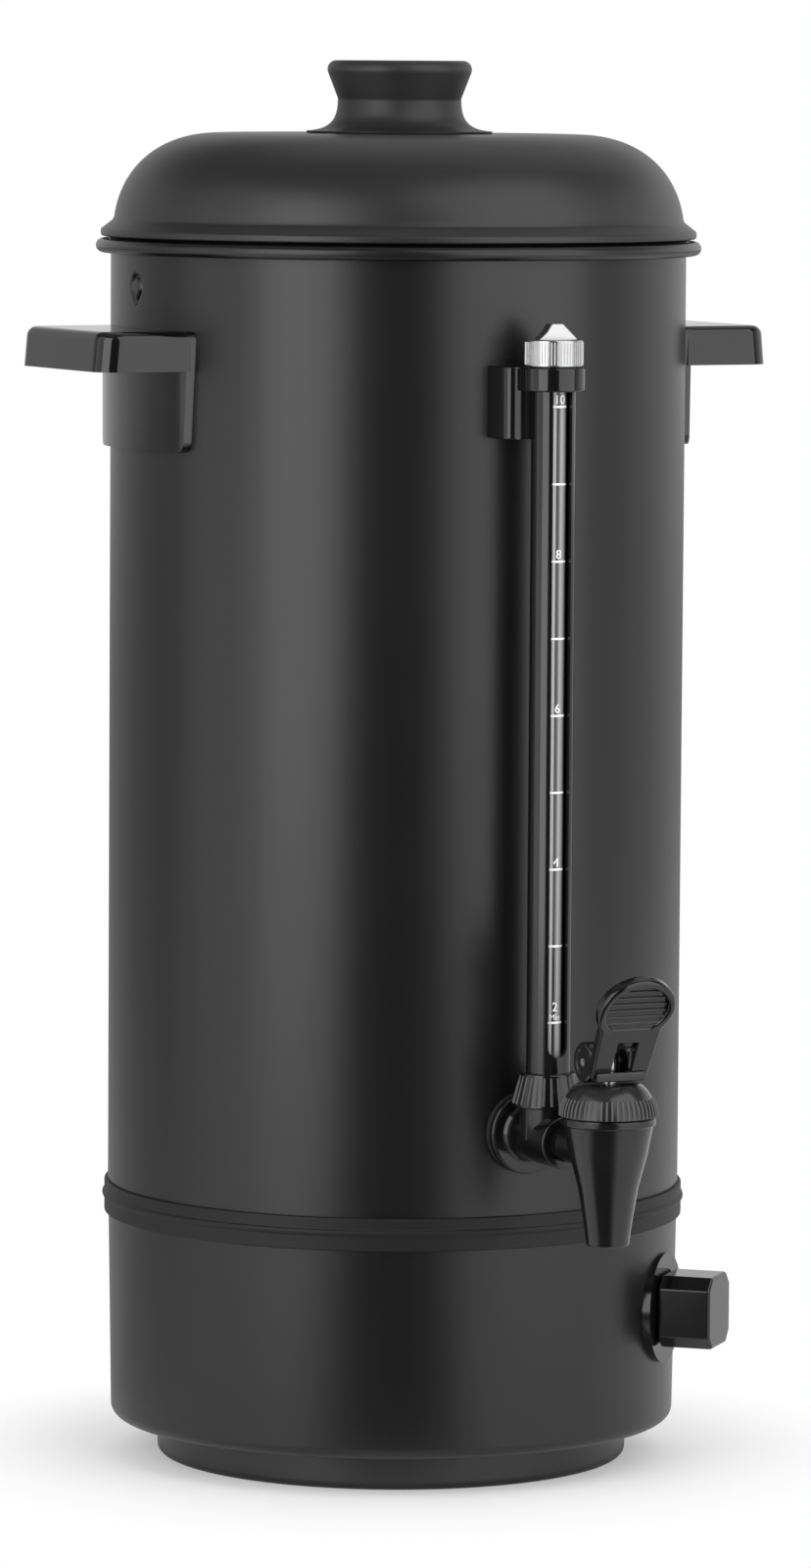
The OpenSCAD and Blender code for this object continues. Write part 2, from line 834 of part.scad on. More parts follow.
module gauge_bracket() {
    round_r = 4;
    color(gloss_black)
        difference() {
            union() {
                translate([0, 0, bracket_z])
                    linear_extrude(bracket_h)
                        polygon(concat(
                            [[bracket_right, -tank_r * 0.7], [-bracket_left, -tank_r * 0.7]],
                            arc([round_r - bracket_left, round_r - tank_r - bracket_front], round_r, 180, 270,
                                corner_steps),
                            [[bracket_right, -tank_r - bracket_front]]));
                translate([0, gauge_y, ring_z])
                    cylinder(d = ring_d, h = ring_h);
            }
            tank_space(tank_r + fit, bracket_z);
            translate([0, gauge_y, bracket_z - over])
                cylinder(d = guard_d + 2 * fit, h = bracket_h + 2 * over);
            radial(bracket_screw_angle, bracket_screw_z)
                cylinder(d = wall_screw_d + 2 * fit, h = tank_r + bracket_front - 3);
        }
}

module bracket_screw() {
    color(steel)
        wall_screw(bracket_screw_angle, bracket_screw_z, bracket_front - 4);
}

module bracket_washer() {
    color(silicone)
        wall_washer(bracket_screw_angle, bracket_screw_z);
}

module gauge_guard() {
    window_z = nut_top + 6 + window_w / 2;
    color(gloss_black)
        translate([0, gauge_y, 0])
            difference() {
                translate([0, 0, guard_z])
                    tube(guard_d, guard_in_d, guard_top - guard_z);
                translate([0, 0, window_z])
                    rotate([90, 0, 0])
                        linear_extrude(guard_d) {
                            circle(d = window_w);
                            translate([-window_w / 2, 0])
                                square([window_w, ring_z - window_z]);
                        }
            }
}

module gauge_glass() {
    color(clear)
        translate([0, gauge_y, glass_z])
            tube(glass_d, glass_d - 2 * glass_wall, glass_top - glass_z);
}

module gauge_seals() {
    color(rubber)
        for (z = [guard_z - seal_d / 2 - run, ring_z + ring_h / 2])
            translate([0, gauge_y, z])
                rotate_extrude()
                    translate([glass_d / 2 + run + seal_d / 2, 0])
                        circle(d = seal_d, $fn = 32);
}

module gauge_cap() {
    wing_z = cap_z + cap_h;
    color(chrome)
        translate([0, gauge_y, 0]) {
            difference() {
                translate([0, 0, cap_z])
                    cylinder(d = cap_d, h = cap_h);
                translate([0, 0, cap_z - over])
                    cylinder(d = guard_d + 2 * run, h = glass_top + free - cap_z + over);
            }
            translate([0, wing_t / 2, wing_z])
                rotate([90, 0, 0])
                    linear_extrude(wing_t)
                        polygon([[-wing_w / 2, -over], [wing_w / 2, -over], [wing_w / 2, 0],
                            [wing_w * 0.14, wing_h - 0.4], [0, wing_h], [-wing_w * 0.14, wing_h - 0.4],
                            [-wing_w * 0.3, wing_h * 0.45], [-wing_w / 2, 0]]);
        }
}

module gauge_nut() {
    color(gloss_black)
        translate([0, gauge_y, 0])
            difference() {
                translate([0, 0, tee_top])
                    cylinder(d1 = nut_foot_d, d2 = nut_top_d, h = nut_h);
                translate([0, 0, tee_top - over])
                    cylinder(d = spigot_d + 2 * fit, h = spigot_h + fit + over);
                translate([0, 0, tee_top])
                    cylinder(d = guard_in_d, h = nut_h);
                translate([0, 0, guard_z])
                    cylinder(d = guard_d + 2 * fit, h = guard_seat + over);
            }
}

module gauge_tee() {
    color(gloss_black)
        difference() {
            union() {
                radial(-90, tap_z) {
                    translate([0, 0, tail_start])
                        cylinder(d = tail_d, h = flange_y + flange_t - tail_start);
                    translate([0, 0, flange_y])
                        cylinder(d = flange_d, h = flange_t);
                    translate([0, 0, flange_y])
                        cylinder(d = tee_d, h = tee_end - gasket_t);
                }
                translate([0, gauge_y, tap_z])
                    cylinder(d = tee_neck_d, h = tee_rise);
                translate([0, gauge_y, tap_z])
                    cylinder(d = spigot_d, h = tee_rise + spigot_h);
            }
            radial(-90, tap_z) {
                translate([0, 0, tail_start - over])
                    cylinder(d = tail_bore, h = tank_r + tee_end - shank_grip - tail_start + over);
                translate([0, 0, tank_r + tee_end - shank_grip])
                    cylinder(d = shank_d + 2 * fit, h = shank_grip + over);
            }
            translate([0, gauge_y, tap_z])
                cylinder(d = glass_d - 2 * glass_wall, h = tee_rise);
            translate([0, gauge_y, glass_z])
                cylinder(d = glass_d + 2 * fit, h = tee_rise + spigot_h);
        }
}

module tap_gasket() {
    color(rubber)
        difference() {
            radial(-90, tap_z)
                difference() {
                    translate([0, 0, tank_r - flange_d])
                        cylinder(d = flange_d - 1, h = flange_d + gasket_t);
                    cylinder(d = tail_d + 2 * fit, h = 2 * tank_r);
                }
            tank_space(tank_r + fit, tap_z);
        }
}

module inner_gasket() {
    color(silicone)
        intersection() {
            radial(-90, tap_z)
                translate([0, 0, tank_in_r - gasket_t])
                    tube(flange_d - 1, tail_d + 2 * fit, flange_d);
            tank_space(tank_in_r - fit, tap_z);
        }
}

module tap_locknut() {
    color(brass)
        radial(-90, tap_z)
            translate([0, 0, tank_in_r - gasket_t - locknut_t])
                difference() {
                    cylinder(d = locknut_w / cos(30), h = locknut_t, $fn = 6);
                    translate([0, 0, -over])
                        cylinder(d = tail_d + 2 * fit, h = locknut_t + 2 * over);
                }
}

module tap_body() {
    rim_low = rim_top - rim_h;
    tip_r = spout_tip_d / 2;
    top_r = spout_top_d / 2;
    knee = [tip_r + 2.1, seat_z - 3];
    color(gloss_black)
        difference() {
            union() {
                translate([0, tap_y, 0])
                    rotate_extrude()
                        polygon(concat(
                            [[0, mouth_z], [tip_r - 1.5, mouth_z]],
                            arc([tip_r - 1.5, mouth_z + 1.5], 1.5, -90, 0, corner_steps),
                            [[tip_r + 0.3, mouth_z + 5], knee, [top_r, rim_low], [rim_d / 2, rim_low],
                                [rim_d / 2, rim_top], [neck_d / 2, rim_top], [neck_d / 2, rim_top + neck_h],
                                [0, rim_top + neck_h]]));
                radial(-90, tap_z)
                    translate([0, 0, tank_r + tee_end - shank_grip + fit])
                        cylinder(d = shank_d, h = tap_off - tee_end + shank_grip);
            }
            translate([0, tap_y, 0])
                rotate_extrude()
                    polygon([[0, mouth_z - over], [spout_bore / 2, mouth_z - over], [spout_bore / 2, seat_z],
                        [cup_d / 2 + 1, seat_z], [chamber_d / 2, tap_z + 2],
                        [chamber_d / 2, rim_top + neck_h + over], [0, rim_top + neck_h + over]]);
            radial(-90, tap_z)
                translate([0, 0, tank_r + tee_end - shank_grip])
                    cylinder(d = shank_bore, h = tap_off - tee_end + shank_grip);
        }
}

module tap_bonnet() {
    foot_r = rim_d / 2 - 0.2;
    crown_r = bonnet_top_d / 2;
    dome = [[foot_r, 0], [foot_r - 0.3, bonnet_h * 0.4], [crown_r + 3.6, bonnet_h * 0.88], [crown_r, bonnet_h]];
    color(gloss_black)
        translate([0, tap_y, rim_top])
            difference() {
                rotate_extrude()
                    polygon(concat([[0, 0]], curve(dome, curve_steps), [[0, bonnet_h]]));
                translate([0, 0, -over])
                    cylinder(d = neck_d + 2 * fit, h = neck_h + fit + over);
                translate([0, 0, -over])
                    cylinder(d = chamber_d, h = bonnet_h - crown_t + over);
                cylinder(d = stem_d + 2 * run, h = bonnet_h + over);
            }
}

module tap_stem() {
    head_z = pivot_z - 5.5;
    color(chrome)
        translate([0, tap_y, 0])
            difference() {
                union() {
                    translate([0, 0, cup_z + 2])
                        cylinder(d = stem_d, h = pivot_z - cup_z - 2);
                    translate([0, 0, head_z])
                        rotate_extrude()
                            polygon(concat([[0, 0], [stem_head_d / 2 - 0.6, 0], [stem_head_d / 2, 0.6]],
                                arc([stem_head_d / 2 - 1.5, 8.5], 1.5, 0, 90, corner_steps),
                                [[0, 10]]));
                }
                translate([0, 0, pivot_z])
                    rotate([0, 90, 0])
                        cylinder(d = pin_d + 2 * run, h = 2 * stem_head_d, center = true);
            }
}

module seat_cup() {
    color(silicone)
        translate([0, tap_y, cup_z])
            difference() {
                union() {
                    cylinder(d = cup_d, h = cup_h);
                    cylinder(d = cup_hub_d, h = cup_hub_h);
                }
                translate([0, 0, 2])
                    cylinder(d = stem_d + 2 * fit, h = cup_hub_h);
            }
}

module tap_spring() {
    steps = spring_turns * spring_rings;
    ring_points = [for (i = [0 : steps], k = [0 : spring_sides - 1])
        let (turn = 360 * i / spring_rings, side = 360 * k / spring_sides,
            r = spring_r + spring_wire / 2 * cos(side))
            [r * cos(turn), r * sin(turn), spring_h * i / steps + spring_wire / 2 * sin(side)]];
    walls = [for (i = [0 : steps - 1], k = [0 : spring_sides - 1])
        let (a = i * spring_sides + k, b = i * spring_sides + (k + 1) % spring_sides)
            [a, b, b + spring_sides]];
    more_walls = [for (i = [0 : steps - 1], k = [0 : spring_sides - 1])
        let (a = i * spring_sides + k, b = i * spring_sides + (k + 1) % spring_sides)
            [a, b + spring_sides, a + spring_sides]];
    first_cap = [for (k = [1 : spring_sides - 2]) [0, k + 1, k]];
    last = steps * spring_sides;
    last_cap = [for (k = [1 : spring_sides - 2]) [last, last + k, last + k + 1]];
    color(steel)
        translate([0, tap_y, spring_z + spring_wire / 2])
            polyhedron(ring_points, [for (f = concat(walls, more_walls, first_cap, last_cap)) [f[2], f[1], f[0]]]);
}

// Blade of the lever in its own leaning plane, before it gets its thickness
module blade_outline() {
    translate([0, pad_reach])
        polygon(oval(pad_w, pad_l, 48));
    polygon([[-lever_w / 2, -blade_low], [lever_w / 2, -blade_low], [lever_w / 2 + 1.5, pad_reach - 6],
        [-lever_w / 2 - 1.5, pad_reach - 6]]);
}

module pad_ribs() {
    difference() {
        polygon(oval(pad_w, pad_l, 48));
        polygon(oval(pad_w - 2 * pad_rim, pad_l - 2 * pad_rim, 48));
    }
    intersection() {
        polygon(oval(pad_w - pad_rim, pad_l - pad_rim, 48));
        for (i = [1 : rib_count])
            translate([-pad_w / 2, pad_rim - pad_l / 2 + i * rib_pitch - rib_pitch / 4])
                square([pad_w, rib_pitch / 2]);
    }
}

module tap_lever() {
    window_top = pad_reach - pad_l / 2 - window_edge;
    color(gloss_black)
        translate([0, tap_y, pivot_z])
            difference() {
                union() {
                    for (side = [-1, 1])
                        translate([side * (lever_gap + cheek_w) / 2, 0, 0])
                            rotate([0, 90, 0])
                                cylinder(r = cheek_r, h = cheek_w, center = true);
                    rotate([lever_lean, 0, 0]) {
                        translate([0, -blade_in, 0])
                            rotate([90, 0, 0])
                                linear_extrude(blade_t)
                                    difference() {
                                        blade_outline();
                                        translate([-lever_gap / 2, -over - blade_low])
                                            square([lever_gap, window_top + over + blade_low]);
                                    }
                        translate([0, -blade_out + fit, pad_reach])
                            rotate([90, 0, 0])
                                linear_extrude(rib_h + fit)
                                    pad_ribs();
                    }
                    translate([-lever_w / 2 + 1.5, foot_bar_y, -cheek_r + 1])
                        cube([lever_w - 3, foot_bar_out + foot_bar_in, foot_bar_t]);
                }
                translate([-stem_d / 2 - 2 * free, foot_bar_y + foot_bar_skin, -cheek_r])
                    cube([stem_d + 4 * free, cheek_r, foot_bar_t + 2 * over]);
                rotate([0, 90, 0])
                    cylinder(d = pin_d + 2 * run, h = 2 * lever_w, center = true);
            }
}

module lever_pin() {
    color(steel)
        translate([0, tap_y, pivot_z])
            rotate([0, 90, 0])
                cylinder(d = pin_d, h = lever_w - 1, center = true);
}

module control_knob() {
    half = control_w / 2;
    cut = half - control_chamfer;
    round_r = half * 1.25;
    front = control_front - control_back;
    color(gloss_black)
        radial(control_angle, control_z)
            difference() {
                intersection() {
                    translate([0, 0, control_back])
                        linear_extrude(front)
                            polygon([[half, cut], [cut, half], [-cut, half], [-half, cut],
                                [-half, -cut], [-cut, -half], [cut, -half], [half, -cut]]);
                    translate([0, 0, control_back])
                        rotate_extrude()
                            polygon([[0, 0], [round_r, 0], [round_r, front - 3], [round_r - 5, front], [0, front]]);
                }
                translate([0, 0, control_back - over])
                    cylinder(d = control_nut_w / cos(30) + 4, h = control_pocket - control_back + over);
                translate([0, 0, control_back])
                    cylinder(d = shaft_d + 2 * fit, h = shaft_end + fit - control_back);
            }
}

module dial_plate() {
    color(gloss_black)
        difference() {
            radial(control_angle, control_z)
                translate([0, 0, control_r - 10])
                    tube(dial_d, bush_d + 2 * fit, 10 + dial_t);
            base_space(fit);
        }
}

module thermostat() {
    color(ceramic)
        radial(control_angle, control_z)
            difference() {
                union() {
                    translate([-thermostat_h / 2, -thermostat_w / 2, thermostat_front - thermostat_depth])
                        cube([thermostat_h, thermostat_w, thermostat_depth]);
                    translate([0, 0, thermostat_front - over])
                        cylinder(d = bush_d, h = bush_end - thermostat_front + over);
                }
                translate([0, 0, shaft_start - free])
                    cylinder(d = shaft_d + 2 * run, h = bush_end);
            }
}

module thermostat_shaft() {
    color(steel)
        radial(control_angle, control_z)
            translate([0, 0, shaft_start])
                cylinder(d = shaft_d, h = shaft_end - shaft_start);
}

module thermostat_nut() {
    color(steel)
        radial(control_angle, control_z)
            translate([0, 0, control_seat])
                difference() {
                    cylinder(d = control_nut_w / cos(30), h = control_nut_t, $fn = 6);
                    translate([0, 0, -over])
                        cylinder(d = bush_d + 2 * fit, h = control_nut_t + 2 * over);
                }
}

module heater_plate() {
    color(steel)
        translate([0, 0, heater_under])
            cylinder(r = heater_r, h = heater_t);
}

module heating_element() {
    ring_r = heater_r - element_inset;
    ring_mid = heater_under - fit - element_d / 2;
    leg_d = element_d * 0.8;
    color(steel)
        translate([0, 0, ring_mid]) {
            rotate([0, 0, 20])
                rotate_extrude(angle = 320)
                    translate([ring_r, 0])
                        circle(d = element_d, $fn = 32);
            for (angle = [20, 340])
                rotate([0, 0, angle])
                    translate([ring_r, 0, -element_d - 4])
                        cylinder(d = leg_d, h = element_d + 4);
        }
}

module thermal_cutout() {
    ear_w = cutout_d + 10;
    color(ceramic)
        translate([0, 0, heater_under - 1.2]) {
            translate([-ear_w / 2, -5, 0])
                cube([ear_w, 10, 1.2]);
            translate([0, 0, -7])
                cylinder(d = cutout_d, h = 8);
        }
}

module heat_shield() {
    color(steel)
        translate([0, 0, shield_z])
            difference() {
                cylinder(r = base_low_r - base_wall - 2, h = shield_t);
                translate([0, 0, -over])
                    cylinder(d = shield_hole_d, h = shield_t + 2 * over);
                for (angle = stud_angles)
                    rotate([0, 0, angle])
                        translate([stud_ring, 0, -over])
                            cylinder(d = stud_top_d + 2 * fit, h = shield_t + 2 * over);
            }
}

module terminal_block() {
    way = 11;
    block = [3 * way + 3, 16, 13];
    color(ceramic)
        translate([0, 0, foot_floor])
            difference() {
                translate([-block[0] / 2, -block[1] / 2, 0])
                    cube(block);
                for (i = [-1 : 1])
                    translate([i * way, 0, block[2] / 2])
                        rotate([90, 0, 0])
                            cylinder(d = 5, h = block[1] + 2 * over, center = true);
            }
}

module mains_inlet() {
    color(gloss_black)
        radial(inlet_angle, mid_z)
            difference() {
                union() {
                    translate([0, 0, inlet_back])
                        linear_extrude(inlet_front - inlet_back)
                            square([inlet_body_h, inlet_body_w], center = true);
                    intersection() {
                        translate([0, 0, base_mid_r - 8])
                            linear_extrude(8 + inlet_flange_t)
                                square([inlet_flange_h, inlet_flange_w], center = true);
                        rotate([0, -90, 0])
                            rotate([0, 0, -inlet_angle])
                                translate([0, 0, -mid_z])
                                    difference() {
                                        cylinder(r = base_mid_r + 20, h = seam_z);
                                        base_space(fit);
                                    }
                    }
                }
                translate([0, 0, socket_back])
                    linear_extrude(socket_depth + over)
                        polygon([[-socket_h / 2, -socket_w / 2], [-socket_h / 2, socket_w / 2],
                            [socket_h / 2 - 4, socket_w / 2], [socket_h / 2, socket_w / 2 - 4],
                            [socket_h / 2, 4 - socket_w / 2], [socket_h / 2 - 4, -socket_w / 2]]);
                for (place = pin_places)
                    translate([place[0], place[1], inlet_back - over])
                        linear_extrude(5)
                            square([pin_w + 2 * run, pin_t + 2 * run], center = true);
                for (side = [-1, 1])
                    translate([0, side * inlet_screw_gap / 2, base_mid_r - 10])
                        cylinder(d = inlet_screw_d + 2 * fit, h = 20);
            }
}

module inlet_pins() {
    color(brass)
        radial(inlet_angle, mid_z)
            for (place = pin_places)
                translate([place[0], place[1], inlet_back - pin_tail])
                    linear_extrude(inlet_front - pin_short - inlet_back + pin_tail)
                        square([pin_w, pin_t], center = true);
}

module inlet_screws() {
    color(steel)
        radial(inlet_angle, mid_z)
            for (side = [-1, 1])
                translate([0, side * inlet_screw_gap / 2, 0]) {
                    translate([0, 0, inlet_front])
                        cylinder(d = inlet_screw_d * 1.9, h = inlet_screw_d * 0.6);
                    translate([0, 0, base_mid_in - 8])
                        cylinder(d = inlet_screw_d, h = inlet_front - base_mid_in + 8 + fit);
                }
}

tank_shell();
tank_floor();
seam_band();
base_housing();
foot_plinth();
tie_studs();
foot_screws();
lid_shell();
lid_skirt();
lid_knob();
knob_screw();
left_handle();
right_handle();
handle_screws();
handle_washers();
gauge_bracket();
bracket_screw();
bracket_washer();
gauge_guard();
gauge_glass();
gauge_seals();
gauge_cap();
gauge_nut();
gauge_tee();
tap_gasket();
inner_gasket();
tap_locknut();
tap_body();
tap_bonnet();
tap_stem();
seat_cup();
tap_spring();
tap_lever();
lever_pin();
control_knob();
dial_plate();
thermostat();
thermostat_shaft();
thermostat_nut();
heater_plate();
heating_element();
thermal_cutout();
heat_shield();
terminal_block();
mains_inlet();
inlet_pins();
inlet_screws();
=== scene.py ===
import json
import math

import bmesh
import bpy
from mathutils import Matrix, Vector


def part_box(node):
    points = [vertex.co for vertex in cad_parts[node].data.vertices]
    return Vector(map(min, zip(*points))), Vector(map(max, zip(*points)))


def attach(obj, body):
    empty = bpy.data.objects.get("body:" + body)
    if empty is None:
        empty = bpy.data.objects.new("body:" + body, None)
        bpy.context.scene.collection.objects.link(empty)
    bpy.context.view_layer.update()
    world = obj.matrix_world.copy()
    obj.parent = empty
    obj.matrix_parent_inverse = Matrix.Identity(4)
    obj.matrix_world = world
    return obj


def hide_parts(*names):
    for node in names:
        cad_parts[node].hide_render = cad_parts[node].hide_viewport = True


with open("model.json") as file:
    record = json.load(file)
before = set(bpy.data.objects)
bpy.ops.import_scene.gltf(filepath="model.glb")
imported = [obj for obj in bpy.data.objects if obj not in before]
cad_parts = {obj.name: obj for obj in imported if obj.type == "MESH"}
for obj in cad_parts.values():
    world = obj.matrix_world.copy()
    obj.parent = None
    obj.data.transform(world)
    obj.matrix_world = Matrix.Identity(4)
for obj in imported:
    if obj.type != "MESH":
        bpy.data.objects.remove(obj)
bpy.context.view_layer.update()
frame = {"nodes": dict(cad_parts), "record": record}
mm = 0.001  # every size below is in millimetres
scene = bpy.context.scene
scene.view_settings.view_transform = "Standard"
print("frame loaded,", len(frame["nodes"]), "nodes")


class Wire:  # a socket of a node tree that can be used in plain arithmetic
    def __init__(self, graph, socket):
        self.graph = graph
        self.socket = socket

    def at(self, name):  # another output of the same node
        return Wire(self.graph, self.socket.node.outputs[name])

    def maths(self, operation, first, second):
        return self.graph.add("ShaderNodeMath", {"operation": operation}, {0: first, 1: second})

    def __add__(self, other):
        return self.maths("ADD", self, other)

    def __radd__(self, other):
        return self.maths("ADD", other, self)

    def __sub__(self, other):
        return self.maths("SUBTRACT", self, other)

    def __rsub__(self, other):
        return self.maths("SUBTRACT", other, self)

    def __mul__(self, other):
        return self.maths("MULTIPLY", self, other)

    def __rmul__(self, other):
        return self.maths("MULTIPLY", other, self)

    def __truediv__(self, other):
        return self.maths("DIVIDE", self, other)

    def __rtruediv__(self, other):
        return self.maths("DIVIDE", other, self)

    def ramp(self, low, high):  # 0 below low, 1 above high, smooth between
        return self.graph.add(
            "ShaderNodeMapRange",
            {"interpolation_type": "SMOOTHSTEP"},
            {"Value": self, "From Min": low, "From Max": high},
        )


class Graph:  # a node tree, filled one node at a time
    def __init__(self, tree):
        self.tree = tree

    def feed(self, socket, value):
        for each in value if isinstance(value, list) else [value]:
            if isinstance(each, Wire):
                self.tree.links.new(each.socket, socket)
            else:
                socket.default_value = each

    def add(self, kind, settings=None, inputs=None, out=0):
        made = self.tree.nodes.new(kind)
        for key, value in (settings or {}).items():
            setattr(made, key, value)
        for key, value in (inputs or {}).items():
            self.feed(made.inputs[key], value)
        return Wire(self, made.outputs[out]) if len(made.outputs) else made

    def mix(self, factor, first, second):  # two colours by a factor
        return self.add(
            "ShaderNodeMix", {"data_type": "RGBA"}, {0: factor, 6: first, 7: second}, out=2
        )

    def dot(self, first, second):  # how far one vector reaches along another
        kind = "ShaderNodeVectorMath"
        return self.add(kind, {"operation": "DOT_PRODUCT"}, {0: first, 1: second}, out="Value")


class Finish(Graph):  # a material round one Principled shader
    def __init__(self, name, constants):
        self.material = bpy.data.materials.new(name)
        self.material.use_nodes = True
        super().__init__(self.material.node_tree)
        self.shader = self.tree.nodes["Principled BSDF"]
        self.place = self.add("ShaderNodeTexCoord").at("Object")
        for socket, value in constants.items():
            self.shader.inputs[socket].default_value = value

    def noise(self, size, detail=2.0, stretch=(1, 1, 1)):  # grain of about this size
        place = self.place
        if stretch != (1, 1, 1):
            place = self.add("ShaderNodeMapping", None, {"Vector": place, "Scale": stretch})
        return self.add(
            "ShaderNodeTexNoise", None, {"Vector": place, "Scale": 1 / (size * mm), "Detail": detail}
        )

    def put(self, socket, value):
        self.feed(self.shader.inputs[socket], value)

    def bump(self, height, depth):
        made = self.add("ShaderNodeBump", None, {"Height": height, "Distance": depth * mm})
        self.put("Normal", made)


def grey(level, tint=(1, 1, 1)):
    return (level * tint[0], level * tint[1], level * tint[2], 1)


def satinPaint(name, shade, rough, sheen=0.5):  # powder coat: fine orange peel under a soft sheen
    look = Finish(name, {"IOR": 1.5, "Specular IOR Level": sheen})
    broad = look.noise(60)
    fine = look.noise(1.3, 3)
    look.put("Base Color", look.mix(broad, grey(shade), grey(1.5 * shade, (1, 1, 1.04))))
    look.put("Roughness", rough + 0.04 * broad + 0.03 * fine)
    look.bump(fine, 0.012)
    return look.material


def grainedPlastic(name, rough, shade=0.011):  # moulding with a faint grain
    look = Finish(name, {"IOR": 1.5})
    fine = look.noise(0.5, 2)
    broad = look.noise(25)
    look.put("Base Color", look.mix(broad, grey(shade), grey(1.45 * shade)))
    look.put("Roughness", rough + 0.05 * fine + 0.04 * broad)
    look.bump(fine, 0.008)
    return look.material


def glossPlastic():  # shiny moulding, slightly uneven
    look = Finish("glossPlastic", {"IOR": 1.52})
    broad = look.noise(18)
    fine = look.noise(0.9, 2)
    look.put("Base Color", look.mix(broad, grey(0.003), grey(0.005)))
    look.put("Roughness", 0.07 + 0.05 * broad + 0.03 * fine)
    look.bump(broad, 0.02)
    return look.material


def metal(name, colour, rough, grain, stretch=(1, 1, 1), swing=0.12):
    look = Finish(name, {"Metallic": 1.0})
    lines = look.noise(grain, 3, stretch)
    dark = tuple(0.86 * part for part in colour[:3]) + (1,)
    look.put("Base Color", look.mix(lines, dark, colour))
    look.put("Roughness", rough + swing * lines)
    return look.material


def clearTube():  # painted highlights in its base colour: the thin bright streak and broad pale band that its wall bends the light into
    look = Finish("clearTube", {"IOR": 1.47, "Transmission Weight": 0.15})
    across = look.add("ShaderNodeSeparateXYZ", None, {0: look.place}).at("X") / (5 * mm)
    wave = 0.04 * (look.noise(30, 1, (1, 1, 0.4)) - 0.5)
    # painted highlights: a thin bright streak near one edge and a broad pale band across the middle
    paintedStreak = (across + wave).ramp(-0.52, -0.40) * (1 - (across + wave).ramp(-0.34, -0.2))
    broad = (across - wave).ramp(-0.12, 0.2) * (1 - (across - wave).ramp(0.35, 0.75))
    look.put("Base Color", look.mix(0.85 * paintedStreak + 0.5 * broad, grey(0.02), grey(0.72)))
    look.put("Roughness", 0.10 + 0.1 * look.noise(9, 2, (1, 1, 0.08)))
    return look.material


def softMatter(name, low, high, rough, grain):  # rubber, silicone, ceramic, print
    look = Finish(name, {"IOR": 1.45})
    patch = look.noise(grain, 3)
    look.put("Base Color", look.mix(patch, low, high))
    look.put("Roughness", rough + 0.1 * patch)
    return look.material


cream = (1, 0.98, 0.93)
finishes = {  # one for each slot of the part
    # the tank's copy of the paint has a near-black base, painted shade set dark to deepen the shadow
    # beside the gauge; the lid's copy keeps a lighter base
    "satin_black_paint": satinPaint("tankPaint", 0.0024, 0.28),
    "satin_black_plastic": grainedPlastic("satinPlastic", 0.3),
    "gloss_black_plastic": glossPlastic(),
    "steel": metal("brushedSteel", grey(0.62), 0.24, 3, (1, 1, 6)),
    "chrome": metal("chromePlate", grey(0.5, (1, 1, 1.01)), 0.2, 7, swing=0.08),
    "clear_tube": clearTube(),
    "black_rubber": softMatter("blackRubber", grey(0.012), grey(0.02), 0.6, 2),
    "silicone": softMatter("paleSilicone", grey(0.55), grey(0.68), 0.45, 4),
    "brass": metal("brass", (0.72, 0.52, 0.22, 1), 0.25, 3),
    "aluminium": metal("castAluminium", grey(0.70), 0.38, 1.5),
    "ceramic": softMatter("ceramic", grey(0.70, cream), grey(0.8, cream), 0.4, 3),
}
whitePrint = softMatter("whitePrint", grey(0.93), grey(0.98), 0.4, 1)
# the lid, its knob and the joint strip are duller
lidPaint = satinPaint("lidPaint", 0.008, 0.36)
stripPaint = satinPaint("stripPaint", 0.005, 0.48, 0.32)
spoolPlastic = grainedPlastic("spoolPlastic", 0.42)
# the ridges of the knurls are painted paler than the plastic round them, a painted highlight for the
# light they catch
ribPlastic = grainedPlastic("ribPlastic", 0.26, 0.045)
bonnetPlastic = grainedPlastic("bonnetPlastic", 0.15, 0.011)
print("materials made for", len(finishes), "slots")

# the room: a white sweep, tall softboxes on both sides of the lens and one overhead
lens = {
    "turn": -26.25,  # degrees off the tap's side
    "focal": 180.4,
    "distance": 3.010,
    "height": 0.537,
    "pan": 0.076,
    "tilt": 5.28,
    "roll": 0.38,
}
softboxes = {  # turn from the lens and tilt from the level, distance, width and height, brightness
    "leftSoftbox": (-37.5, 12, 1.7, (1.05, 2.05), 2.85),
    "leftFill": (-73, 14, 1.7, (1.1, 2.2), 0.9),
    "rightSoftbox": (48, 20, 1.7, (2.0, 2.8), 1.85),
    "topSoftbox": (160, 62, 1.8, (1.6, 1.6), 0.38),
}
studio = {
    "floorHalf": 6.0,
    "floorShade": (0.90, 0.93),
    "floorMirrored": 0.08,  # in reflections, as dark as the room behind the lens
    "backWall": 0.79,
    "backSlope": 0.24,  # brighter towards the right
    "ceiling": 0.22,
    "gloom": 0.02,
    "soft": 0.55,
    "throughGlass": 0.8,
}
urnMiddle = Vector((0, 0, 0.28))
lensTurn = math.radians(lens["turn"])
towardLens = (math.sin(lensTurn), -math.cos(lensTurn), 0)
beside = (math.cos(lensTurn), math.sin(lensTurn), 0)
leftBehind = tuple(-0.8 * a - 0.6 * b for a, b in zip(towardLens, beside))


